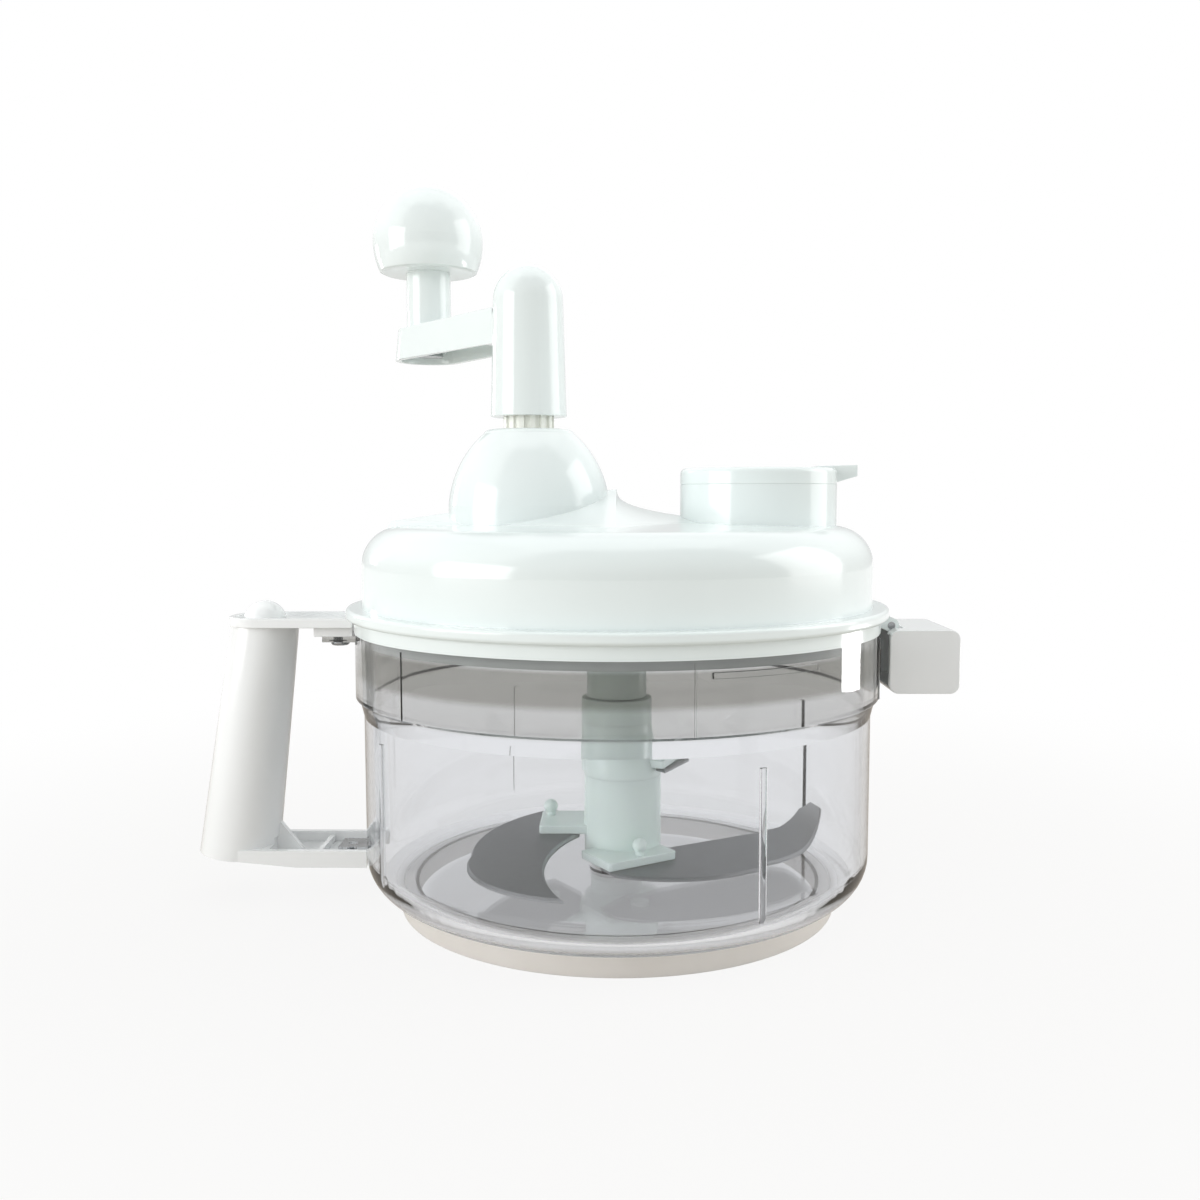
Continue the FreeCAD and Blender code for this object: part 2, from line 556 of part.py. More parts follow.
def drawBox(sketch, left, low, right, high, rounding=None):
    note = {"round": rounding} if rounding else {}
    corners = ((left, low), (right, low), (right, high), (left, high))
    drawOutline(sketch, [(x, y, note) for x, y in corners])


def drawHexagon(sketch, flats):
    # a hexagon about the origin, given across its flats, with a corner on the x axis
    corners = []
    for k in range(6):
        reach = f"({flats}) / (2 * cos(30))"
        corners.append((f"{reach} * cos({60 * k})", f"{reach} * sin({60 * k})"))
    corners[0] = (corners[0][0], "0")
    corners[3] = (corners[3][0], "0")
    drawOutline(sketch, corners)


def feature(body, kind, sketch, name):
    made = body.newObject(f"PartDesign::{kind}", name)
    made.Profile = sketch
    sketch.Visibility = False
    return made


def pad(body, sketch, length, both=False, reverse=False, taper=None):
    made = feature(body, "Pad", sketch, "Pad")
    bind(made, "Length", length)
    made.Midplane = both
    made.Reversed = reverse
    if taper:
        bind(made, "TaperAngle", taper)
    return made


def pocket(body, sketch, length=None, both=False, reverse=False):
    # with no length the pocket runs through everything, both ways
    made = feature(body, "Pocket", sketch, "Pocket")
    if length:
        bind(made, "Length", length)
        made.Midplane = both
        made.Reversed = reverse
    else:
        made.Type = "ThroughAll"
        made.Midplane = True
    return made


def revolve(body, sketch, angle=None):
    made = feature(body, "Revolution", sketch, "Revolution")
    made.ReferenceAxis = (sketch, ["V_Axis"])
    made.Angle = 360
    if angle:
        bind(made, "Angle", angle)
    return made


def groove(body, sketch):
    made = feature(body, "Groove", sketch, "Groove")
    made.ReferenceAxis = (sketch, ["V_Axis"])
    made.Angle = 360
    return made


def repeatRound(body, original, count):
    made = body.newObject("PartDesign::PolarPattern", "PolarPattern")
    made.Originals = [original]
    made.Axis = (originFeature(body, "Z_Axis"), [""])
    made.Angle = 360
    bind(made, "Occurrences", count)
    body.Tip = made
    return made


def turned(label, corners, x=None):
    # a turned piece: one profile round its own upright axis, which stands at x
    body = newBody(label, x)
    profile = newSketch(body, "Profile", "XZ_Plane")
    drawOutline(profile, corners)
    revolve(body, profile)
    return body


def crownRadius(radius, height):
    # the radius of an arc that rises by height over radius and meets the axis square
    return f"(({radius}) ^ 2 + ({height}) ^ 2) / (2 * ({height}))"


def ring(label, inner, outer, low, high, x=None):
    corners = [(inner, low), (outer, low), (outer, high), (inner, high)]
    return turned(label, corners, x)


def cutHexagon(body, flats, top, depth):
    sketch = newSketch(body, "Socket", "XY_Plane", lift=top)
    drawHexagon(sketch, flats)
    return pocket(body, sketch, depth)


def padHexagon(body, flats, low, length):
    sketch = newSketch(body, "Hexagon", "XY_Plane", lift=low)
    drawHexagon(sketch, flats)
    return pad(body, sketch, length)


bowlInner = "bowlRadius - bowlWall"
floorTop = "footHeight + bowlFloor"
bossTop = f"{floorTop} + bossHeight"
spindleBottom = "footHeight + spindleSeat"


def makeBowl():
    body = newBody("bowl")
    profile = newSketch(body, "Profile", "XZ_Plane")
    grooveInner = "tongueRadius - tongueWidth / 2 - tongueGap"
    grooveOuter = "tongueRadius + tongueWidth / 2 + tongueGap"
    grooveTop = "footHeight + tongueHeight + tongueGap"
    corners = [
        ("0", "footHeight"),
        (grooveInner, "footHeight"),
        (grooveInner, grooveTop),
        (grooveOuter, grooveTop),
        (grooveOuter, "footHeight"),
        ("bowlRadius", "footHeight", {"round": "bowlCorner"}),
        ("bowlRadius", "bandBottom - bandTaper"),
        ("(bowlRadius + bandRadius) / 2", "bandBottom"),
        ("bandRadius", "bandBottom + bandLip"),
        ("bandRadius", "bandTop"),
        ("rimRadius", "bandTop"),
        ("rimRadius", "rimTop"),
        (bowlInner, "rimTop"),
        (bowlInner, floorTop, {"round": "bowlCorner - bowlWall"}),
        ("bossRadius", floorTop),
        ("bossRadius", bossTop),
        ("spindleRadius + pressGap", bossTop),
        ("spindleRadius + pressGap", spindleBottom),
        ("0", spindleBottom),
    ]
    drawOutline(profile, corners)
    revolve(body, profile)

    rib = newSketch(body, "Rib", "XY_Plane", lift="ribBottom", turn="ribStart")
    drawCircle(rib, f"{bowlInner} + ribBury", "0", "ribRadius")
    repeatRound(body, pad(body, rib, "ribTop - ribBottom"), "ribCount")

    bead = newSketch(body, "Bead", "XY_Plane", lift="bandBottom + bandLip", turn="beadStart")
    drawCircle(bead, "bandRadius", "0", "beadRadius")
    repeatRound(body, pad(body, bead, "bandTop - bandBottom - 2 * bandLip"), "beadCount")

    ramp = newSketch(body, "LockRib", "XZ_Plane", turn="rampStart")
    rampOuter = "bandRadius + rampDepth"
    drawBox(ramp, "bandRadius - lugBury", "rampBottom", rampOuter, "rampBottom + rampHeight")
    revolve(body, ramp, "rampSweep")

    upper = newSketch(body, "UpperLug", "XY_Plane", lift="upperLugTop - upperLugThick")
    upperRoot = "lugBury - rimRadius"
    drawBox(upper, "-upperLugReach", "-upperLugWidth / 2", upperRoot, "upperLugWidth / 2")
    drawCircle(upper, "-lugScrewX", "0", "screwRadius")
    pad(body, upper, "upperLugThick")

    lower = newSketch(body, "LowerLug", "XY_Plane", lift="trayBottom + trayFloor")
    lowerRoot = "lugBury - bowlRadius"
    drawBox(lower, "-lowerLugReach", "-lowerLugWidth / 2", lowerRoot, "lowerLugWidth / 2")
    drawCircle(lower, "-lowerScrewX", "0", "screwRadius")
    pad(body, lower, "lowerLugThick")

    catch = newSketch(body, "Catch", "XY_Plane", lift="catchBottom")
    drawBox(catch, "rimRadius", "-catchWidth / 2", "catchReach", "catchWidth / 2")
    pad(body, catch, "catchTop - catchBottom")


def makeNonSlipBase():
    inner = "tongueRadius - tongueWidth / 2"
    outer = "tongueRadius + tongueWidth / 2"
    top = "footHeight + tongueHeight"
    corners = [
        ("footRadius - footWidth", "0"),
        ("footRadius", "0"),
        ("footRadius", "footHeight"),
        (outer, "footHeight"),
        (outer, top),
        (inner, top),
        (inner, "footHeight"),
        ("footRadius - footWidth", "footHeight"),
    ]
    turned("non_slip_base", corners)


def makeSpindle():
    corners = [
        ("0", spindleBottom),
        ("spindleRadius", spindleBottom),
        ("spindleRadius", "spindleTop", {"round": "spindleRadius / 3"}),
        ("0", "spindleTop"),
    ]
    turned("spindle_pin", corners)
    ring(
        "thrust_washer",
        "spindleRadius + looseGap",
        "washerRadius",
        bossTop,
        f"{bossTop} + washerThick",
    )


plates = [
    ("swept", "sweptHeight + bladeThick"),
    ("side", "sideHeight + bladeThick"),
    ("upper", "upperHeight + bladeThick"),
]


def makeBladeColumn():
    body = newBody("blade_column")
    bottom = f"{bossTop} + washerThick"
    sleeveTop = "upperHeight - pegFlangeThick - looseGap"
    profile = newSketch(body, "Profile", "XZ_Plane")
    drawOutline(profile, [
        ("0", bottom),
        ("columnFoot", bottom),
        ("columnFoot", sleeveTop),
        ("columnRadius", sleeveTop),
        ("columnRadius", "columnTop"),
        ("0", "columnTop"),
    ])
    revolve(body, profile)
    for name, low in plates:
        plate = newSketch(body, name, "XY_Plane", lift=low, turn=f"{name}PlateAngle")
        drawOutline(plate, [
            ("plateInner", f"-{name}PlateRight"),
            (f"{name}PlateReach", f"-{name}PlateRight", {"round": "plateRound"}),
            (f"{name}PlateReach", f"{name}PlateLeft", {"round": "plateRound"}),
            ("plateInner", f"{name}PlateLeft"),
        ])
        pad(body, plate, "plateThick")
    sleeveBottom = "sweptHeight + bladeThick"
    sleeve = newSketch(body, "Sleeve", "XY_Plane", lift=sleeveBottom, turn="sweptPlateAngle")
    drawCircle(sleeve, "sleeveShift", "0", "sleeveRadius")
    pad(body, sleeve, f"{sleeveTop} - ({sleeveBottom})")
    bore = newSketch(body, "Bore", "XY_Plane", lift=bottom)
    drawCircle(bore, "0", "0", "spindleRadius + runningGap")
    pocket(body, bore, f"spindleTop + looseGap - ({bottom})", reverse=True)
    cutHexagon(body, "socketWidth", "columnTop", "socketDepth")
    bladePegHoles(body)


def pegPlace(name):
    # the peg's centre in the bowl's own x and y
    along = f"{name}PegReach * cos({name}PlateAngle) - {name}PegSide * sin({name}PlateAngle)"
    across = f"{name}PegReach * sin({name}PlateAngle) + {name}PegSide * cos({name}PlateAngle)"
    return along, across


def bladePegHoles(body):
    for name, low in plates:
        hole = newSketch(body, f"{name}Hole", "XY_Plane", lift=f"{name}Height")
        drawCircle(hole, *pegPlace(name), "pegRadius + pressGap")
        pocket(body, hole, "bladeThick + plateThick", reverse=True)


def makeBlade(label, name, corners):
    body = newBody(label)
    outline = newSketch(body, "Outline", "XY_Plane", lift=f"{name}Height")
    drawOutline(outline, corners)
    drawCircle(outline, *pegPlace(name), "pegRadius + pressGap")
    pad(body, outline, "bladeThick")


def bladeOutline(name, notes):
    # the blade's corners by their names in the sheet, with what follows some of them
    outline = []
    for corner, x, y in bladeCorners[name]:
        place = (f"{name}{corner}X", f"{name}{corner}Y")
        outline.append(place + (notes[corner],) if corner in notes else place)
    return outline


def makeSideBlade():
    notes = {
        "Shoulder": {"arc": "sideShoulderArc", "left": True},
        "Belly": {"arc": "sideBellyArc", "left": True},
        "Tip": {"arc": "sideBackArc", "left": False},
    }
    makeBlade("side_blade", "side", bladeOutline("side", notes))


def makeUpperBlade():
    notes = {
        "Shoulder": {"arc": "upperShoulderArc", "left": True},
        "Tip": {"arc": "upperBackArc", "left": True},
    }
    makeBlade("upper_blade", "upper", bladeOutline("upper", notes))


def makeSweptBlade():
    # a bent sheet, trimmed to the blade's outline
    body = newBody("swept_blade")
    sheetProfile = newSketch(body, "BentSheet", "XZ_Plane", turn="bendAzimuth")
    inner = "bendRadius - bladeThick"
    centre = "sweptHeight + bendRadius"
    corners = [
        ("-bendStart", "sweptHeight"),
        ("bendStart", "sweptHeight", {"arc": "bendRadius", "left": True}),
        ("bendStart + bendRadius * sin(bendAngle)", f"{centre} - bendRadius * cos(bendAngle)"),
        (
            f"bendStart + ({inner}) * sin(bendAngle)",
            f"{centre} - ({inner}) * cos(bendAngle)",
            {"arc": inner, "left": False},
        ),
        ("bendStart", "sweptHeight + bladeThick"),
        ("-bendStart", "sweptHeight + bladeThick"),
    ]
    drawOutline(sheetProfile, corners)
    pad(body, sheetProfile, "2 * bowlRadius", both=True)
    trim = newSketch(body, "Trim", "XY_Plane")
    drawBox(trim, "-1.5 * bowlRadius", "-1.5 * bowlRadius", "1.5 * bowlRadius", "1.5 * bowlRadius")
    drawOutline(trim, bladeOutline("swept", {
        "CornerFront": {"arc": "sweptFrontArc", "left": True},
        "Belly": {"arc": "sweptBellyArc", "left": True},
        "Tip": {"round": "sweptTipRound"},
    }))
    pocket(body, trim)
    hole = newSketch(body, "PegHole", "XY_Plane")
    drawCircle(hole, *pegPlace("swept"), "pegRadius + pressGap")
    pocket(body, hole)


def drawCross(sketch, reach, half):
    drawOutline(sketch, [
        (half, half),
        (half, reach),
        (f"-{half}", reach),
        (f"-{half}", half),
        (f"-{reach}", half),
        (f"-{reach}", f"-{half}"),
        (f"-{half}", f"-{half}"),
        (f"-{half}", f"-{reach}"),
        (half, f"-{reach}"),
        (half, f"-{half}"),
        (reach, f"-{half}"),
        (reach, half),
    ])


def makeScrew(
    label, at, radius, length, head="screwHead", thick="screwHeadThick", flip=False, keep=True
):
    # The head's seat is the piece's own origin, which is bound to its place. The shank points up,
    # or down where the screw is flipped. A screw that isn't kept is a member of a group.
    body = newBody(label)
    if not keep:
        pieces.remove(body)
    profile = newSketch(body, "Profile", "XZ_Plane")
    drawOutline(profile, [
        ("0", f"-{thick}"),
        (head, f"-{thick}", {"round": f"{thick} / 2"}),
        (head, "0"),
        (radius, "0"),
        (radius, f"{length} - {radius} / 2"),
        (f"{radius} / 2", length),
        ("0", length),
    ])
    revolve(body, profile)
    recess = newSketch(body, "Recess", "XY_Plane", lift=f"-{thick}")
    drawCross(recess, f"{head} * 0.6", "screwSlot / 2")
    pocket(body, recess, f"{thick} * 0.6", reverse=True)
    if flip:
        body.Placement.Rotation = FreeCAD.Rotation(FreeCAD.Vector(1, 0, 0), 180)
    for axis, text in zip("xyz", at):
        if text != "0":
            bind(body, f"Placement.Base.{axis}", text)
    return body


def makeGroup(label, members):
    group = doc.addObject("Part::Compound", label)
    group.Label = label
    group.Links = members
    pieces.append(group)


def makeBladeRivets():
    members = []
    for name, low in plates:
        body = newBody(f"{name}_rivet")
        pieces.remove(body)
        top = "bladeThick + plateThick"
        centre = f"{top} + pegNeck + sqrt(pegBall ^ 2 - pegRadius ^ 2)"
        corners = [
            ("0", "-pegFlangeThick"),
            ("pegFlange", "-pegFlangeThick"),
            ("pegFlange", "0"),
            ("pegRadius", "0"),
        ]
        if name == "upper":
            # this one sits close under the bowl's rim and has a flat head
            corners += [
                ("pegRadius", top),
                ("pegBall", top),
                ("pegBall", f"{top} + pegFlangeThick"),
                ("0", f"{top} + pegFlangeThick"),
            ]
        else:
            corners += [
                ("pegRadius", f"{top} + pegNeck", {"arc": "pegBall", "left": True}),
                ("0", f"{centre} + pegBall"),
            ]
        profile = newSketch(body, "Profile", "XZ_Plane")
        drawOutline(profile, corners)
        revolve(body, profile)
        along, across = pegPlace(name)
        bind(body, "Placement.Base.x", along)
        bind(body, "Placement.Base.y", across)
        bind(body, "Placement.Base.z", f"{name}Height")
        members.append(body)
    makeGroup("blade_rivets", members)


shoulderBottom = "gearBottom + gearThick"
washerBottom = "bearingBottom - bushFlange - washerThick"
shaftBush = "shaftRadius + runningGap + bushWall"
pinionBush = "pinionJournal + runningGap + bushWall"
coverBossBottom = "coverBottom - coverBossDepth"
driveTop = f"{coverBossBottom} - thrustGap"


def makeCrankShaft():
    body = newBody("crank_shaft", x="-gearOffset")
    bore = "boltRadius + looseGap / 3"
    profile = newSketch(body, "Profile", "XZ_Plane")
    drawOutline(profile, [
        (bore, "shaftBottom"),
        ("shaftEnd", "shaftBottom"),
        ("shaftEnd", shoulderBottom),
        ("shaftShoulder", shoulderBottom),
        ("shaftShoulder", washerBottom),
        ("shaftRadius", washerBottom),
        ("shaftRadius", "domeTop + looseGap"),
        ("splineCore", "domeTop + looseGap"),
        ("splineCore", "shaftTop"),
        (bore, "shaftTop"),
    ])
    revolve(body, profile)
    hexagon = newSketch(body, "Hexagon", "XY_Plane", lift="gearBottom")
    drawHexagon(hexagon, "shaftHex")
    drawCircle(hexagon, "0", "0", bore)
    pad(body, hexagon, "gearThick")
    spline = newSketch(body, "Spline", "XY_Plane", lift="domeTop + looseGap")
    drawBox(spline, "splineCore - looseGap", "-splineWidth / 2", "splineRadius", "splineWidth / 2")
    repeatRound(body, pad(body, spline, "shaftTop - domeTop - 2 * looseGap"), "splineCount")


def makeBushes():
    for label, sleeve, journal, low, seat, x in (
        (
            "crank_bush",
            shaftBush,
            "shaftRadius + runningGap",
            "bearingBottom",
            "domeTop - domeLip",
            "-gearOffset",
        ),
        (
            "drive_bush",
            pinionBush,
            "pinionJournal + runningGap",
            coverBossBottom,
            "gearBottom - thrustGap - bushFlange",
            None,
        ),
    ):
        rim = f"{sleeve} + bushRim"
        if label == "crank_bush":
            corners = [
                (journal, f"{low} - bushFlange"),
                (rim, f"{low} - bushFlange"),
                (rim, low),
                (sleeve, low),
                (sleeve, seat),
                (journal, seat),
            ]
        else:
            corners = [
                (journal, low),
                (sleeve, low),
                (sleeve, seat),
                (rim, seat),
                (rim, f"{seat} + bushFlange"),
                (journal, f"{seat} + bushFlange"),
            ]
        turned(label, corners, x)
    ring(
        "crank_washer",
        "shaftRadius + looseGap",
        "shaftShoulder + bushRim / 2",
        washerBottom,
        f"{washerBottom} + washerThick",
        "-gearOffset",
    )


def gearWire(teeth, phase):
    # the outline of an involute gear about the origin; phase is the azimuth of a tooth
    module = number("gearModule")
    pitch = module * teeth / 2
    base = pitch * math.cos(math.radians(20))
    root = pitch - 1.25 * module
    start = max(base, root)
    involute = math.tan(math.radians(20)) - math.radians(20)
    half = math.pi / (2 * teeth) - number("gearBacklash") / (4 * pitch)
    flank = []
    for step in range(6):
        radius = start + (pitch + module - start) * step / 5
        roll = math.acos(min(1.0, base / radius))
        flank.append((radius, half + involute - math.tan(roll) + roll))

    def point(radius, angle):
        return FreeCAD.Vector(radius * math.cos(angle), radius * math.sin(angle), 0)

    def curve(points):
        spline = Part.BSplineCurve()
        spline.interpolate(points)
        return spline.toShape()

    edges = []
    for k in range(teeth):
        middle = math.radians(phase) + 2 * math.pi * k / teeth
        right = [point(radius, middle - angle) for radius, angle in flank]
        left = [point(radius, middle + angle) for radius, angle in reversed(flank)]
        foot = [point(root, middle - flank[0][1]), point(root, middle + flank[0][1])]
        following = point(root, middle + 2 * math.pi / teeth - flank[0][1])
        if start > root:
            edges.append(Part.LineSegment(foot[0], right[0]).toShape())
        edges.append(curve(right))
        edges.append(Part.Arc(right[-1], point(pitch + module, middle), left[0]).toShape())
        edges.append(curve(left))
        if start > root:
            edges.append(Part.LineSegment(left[-1], foot[1]).toShape())
        edges.append(Part.Arc(foot[1], point(root, middle + math.pi / teeth), following).toShape())
    return Part.Wire(edges)


def hexagonWire(flats):
    reach = flats / 2 / math.cos(math.radians(30))
    corners = []
    for k in range(7):
        angle = k * math.pi / 3
        corners.append(FreeCAD.Vector(reach * math.cos(angle), reach * math.sin(angle), 0))
    return Part.makePolygon(corners)


def circleWire(x, y, radius):
    circle = Part.Circle(FreeCAD.Vector(x, y, 0), FreeCAD.Vector(0, 0, 1), radius)
    return Part.Wire([circle.toShape()])


def makeCrankGear():
    # an involute outline has no sketch of its own, so this shape is made straight from the sheet
    gear = doc.addObject("Part::Feature", "crank_gear")
    gear.Label = "crank_gear"
    holes = [hexagonWire(number("shaftHex + 2 * hexGap"))]
    count = int(number("webHoleCount"))
    circle = number("webHoleCircle")
    for k in range(count):
        angle = 2 * math.pi * k / count
        x, y = circle * math.cos(angle), circle * math.sin(angle)
        holes.append(circleWire(x, y, number("webHoleRadius")))
    rise = FreeCAD.Vector(0, 0, number("gearThick"))
    blank = Part.Face(gearWire(int(number("crankTeeth")), 0)).extrude(rise)
    gear.Shape = blank.cut([Part.Face(wire).extrude(rise) for wire in holes])
    bind(gear, "Placement.Base.x", "-gearOffset")
    bind(gear, "Placement.Base.z", "gearBottom")
    pieces.append(gear)


def makeDrivePinion():
    teeth = round(2 * number("gearOffset") / number("gearModule") - number("crankTeeth"))
    toothRing = doc.addObject("Part::Feature", "PinionTeeth")
    # a gap between two teeth faces the crank gear
    face = Part.Face(gearWire(teeth, 180.0 / teeth))
    toothRing.Shape = face.extrude(FreeCAD.Vector(0, 0, number("gearThick")))
    bind(toothRing, "Placement.Base.z", "gearBottom")

    body = newBody("PinionShaft")
    pieces.remove(body)
    profile = newSketch(body, "Profile", "XZ_Plane")
    drawOutline(profile, [
        ("0", driveTop),
        ("pinionJournal", driveTop),
        ("pinionJournal", "gearBottom"),
        ("pinionTip", "gearBottom"),
        ("pinionTip", "pinionTipTop"),
        ("0", "pinionTipTop"),
    ])
    revolve(body, profile)
    padHexagon(body, "pinionHex", "pinionHexBottom", f"{driveTop} - pinionHexBottom")
    bore = newSketch(body, "Bore", "XY_Plane", lift="pinionHexBottom")
    drawCircle(bore, "0", "0", "screwRadius + pressGap")
    pocket(body, bore, "driveScrewLength - driveWeb + 1", reverse=True)

    fused = doc.addObject("Part::Fuse", "drive_pinion")
    fused.Label = "drive_pinion"
    fused.Base = body
    fused.Tool = toothRing
    pieces.append(fused)


def makeDriveShaft():
    web = "pinionHexBottom - driveWeb"
    body = newBody("drive_shaft")
    profile = newSketch(body, "Profile", "XZ_Plane")
    drawOutline(profile, [
        ("driverBore", "columnTop + looseGap"),
        ("driveRadius", "columnTop + looseGap"),
        ("driveRadius", driveTop),
        ("screwRadius + looseGap / 3", driveTop),
        ("screwRadius + looseGap / 3", web),
        ("driverBore", web),
    ])
    revolve(body, profile)
    driver = newSketch(body, "Driver", "XY_Plane", lift="driverBottom")
    drawHexagon(driver, "driverWidth")
    drawCircle(driver, "0", "0", "driverBore")
    pad(body, driver, "columnTop + looseGap - driverBottom")
    cutHexagon(body, "pinionHex + 2 * hexGap", driveTop, f"{driveTop} - pinionHexBottom")
    makeScrew("drive_screw", ("0", "0", web), "screwRadius", "driveScrewLength")


def makeCrankArm():
    body = newBody("crank_arm", x="-gearOffset", turn="crankAngle")
    hubCrown = crownRadius("hubTopRadius", "hubTop - hubShoulder")
    profile = newSketch(body, "Profile", "XZ_Plane")
    drawOutline(profile, [
        ("splineRadius + runningGap", "hubBottom"),
        ("hubRadius", "hubBottom"),
        ("hubTopRadius", "hubShoulder", {"arc": hubCrown, "left": True}),
        ("0", "hubTop"),
        ("0", "shaftTop + boltGrip"),
        ("boltRadius + pressGap", "shaftTop + boltGrip"),
        ("boltRadius + pressGap", "shaftTop"),
        ("splineRadius + runningGap", "shaftTop"),
    ])
    revolve(body, profile)
    outer = newSketch(body, "Arm", "XY_Plane", lift="armBottom")
    drawOutline(outer, [
        ("splineRadius + armWall", "-armRoot / 2"),
        ("hubTopRadius / 3", "-armRoot"),
        ("crankReach", "-armEnd", {"arc": "armEnd", "left": True}),
        ("crankReach + armEnd", "0", {"arc": "armEnd", "left": True}),
        ("crankReach", "armEnd"),
        ("hubTopRadius / 3", "armRoot"),
        ("splineRadius + armWall", "armRoot / 2"),
    ])
    pad(body, outer, "armTop - armBottom", taper="-armDraft")
    hollow = newSketch(body, "Hollow", "XY_Plane", lift="armBottom")
    drawOutline(hollow, [
        ("hubRadius + looseGap", "armWall - armRoot"),
        ("crankReach", "armWall - armEnd", {"arc": "armEnd - armWall", "left": True}),
        ("crankReach + armEnd - armWall", "0", {"arc": "armEnd - armWall", "left": True}),
        ("crankReach", "armEnd - armWall"),
        ("hubRadius + looseGap", "armRoot - armWall"),
    ])
    cut = pocket(body, hollow, "armTop - armBottom - armWall", reverse=True)
    bind(cut, "TaperAngle", "-armDraft")
    boss = newSketch(body, "Boss", "XY_Plane", lift="armBottom + 2 * knobPinHeadThick")
    drawCircle(boss, "crankReach", "0", "armBossRadius")
    pad(body, boss, "armTop - armBottom - 2 * knobPinHeadThick")
    bore = newSketch(body, "Bore", "XY_Plane", lift="armBottom")
    drawCircle(bore, "crankReach", "0", "knobPinRadius + pressGap")
    pocket(body, bore, "armTop - armBottom", reverse=True)


knobX = "crankReach * cos(crankAngle) - gearOffset"
knobY = "crankReach * sin(crankAngle)"


def placeOnArm(body):
    bind(body, "Placement.Base.x", knobX)
    bind(body, "Placement.Base.y", knobY)


def makeKnob():
    waist = "knobTop - knobRadius"
    rise = f"{waist} - knobFlat - armWall / 4"
    lean = "knobRadius - knobFlatRadius"
    body = turned("knob", [
        ("knobPinRadius + runningGap", "armTop + washerThick"),
        ("stemRadius", "armTop + washerThick"),
        ("stemRadius", "knobFlat"),
        ("knobFlatRadius - armWall / 2", "knobFlat"),
        ("knobFlatRadius", "knobFlat + armWall / 4", {"arc": crownRadius(rise, lean), "left": True}),
        ("knobRadius", waist, {"arc": "knobRadius", "left": True}),
        ("0", "knobTop"),
        ("0", "knobPinTop + looseGap"),
        ("knobPinRadius + runningGap", "knobPinTop + looseGap"),
    ])
    placeOnArm(body)
    washerTop = "armTop + washerThick"
    washer = ring("knob_washer", "knobPinRadius + looseGap", "washerRadius", "armTop", washerTop)
    placeOnArm(washer)
    seat = "armBottom + 2 * knobPinHeadThick"
    knobPin = turned("knob_pin", [
        ("0", f"{seat} - knobPinHeadThick"),
        ("knobPinHead", f"{seat} - knobPinHeadThick"),
        ("knobPinHead", seat),
        ("knobPinRadius", seat),
        ("knobPinRadius", "knobPinTop", {"round": "knobPinRadius / 3"}),
        ("0", "knobPinTop"),
    ])
    placeOnArm(knobPin)
    makeScrew(
        "crank_bolt",
        ("-gearOffset", "0", "shaftBottom"),
        "boltRadius",
        "shaftTop + boltGrip - shaftBottom",
        head="boltHead",
        thick="boltHeadThick",
    )


def drawHull(sketch, big, small):
    # the outline round a big circle on the crank's axis and a small one on the bowl's axis
    cosine = f"(({big}) - ({small})) / gearOffset"
    sine = f"sqrt(1 - ({cosine}) ^ 2)"
    drawOutline(sketch, [
        (f"({big}) * {cosine} - gearOffset", f"-({big}) * {sine}"),
        (f"({small}) * {cosine}", f"-({small}) * {sine}", {"arc": small, "left": True}),
        (f"({small}) * {cosine}", f"({small}) * {sine}"),
        (f"({big}) * {cosine} - gearOffset", f"({big}) * {sine}", {"arc": big, "left": True}),
        (f"-gearOffset - ({big})", "0", {"arc": big, "left": True}),
    ])


# each ear's centre, and how high the lid's boss over it goes to reach the lid's top
coverEars = [
    ("-gearOffset", "coverEarSide", "shoulderHeight"),
    ("-gearOffset", "-coverEarSide", "shoulderHeight"),
    ("coverEarFront", "0", "crownHeight"),
]


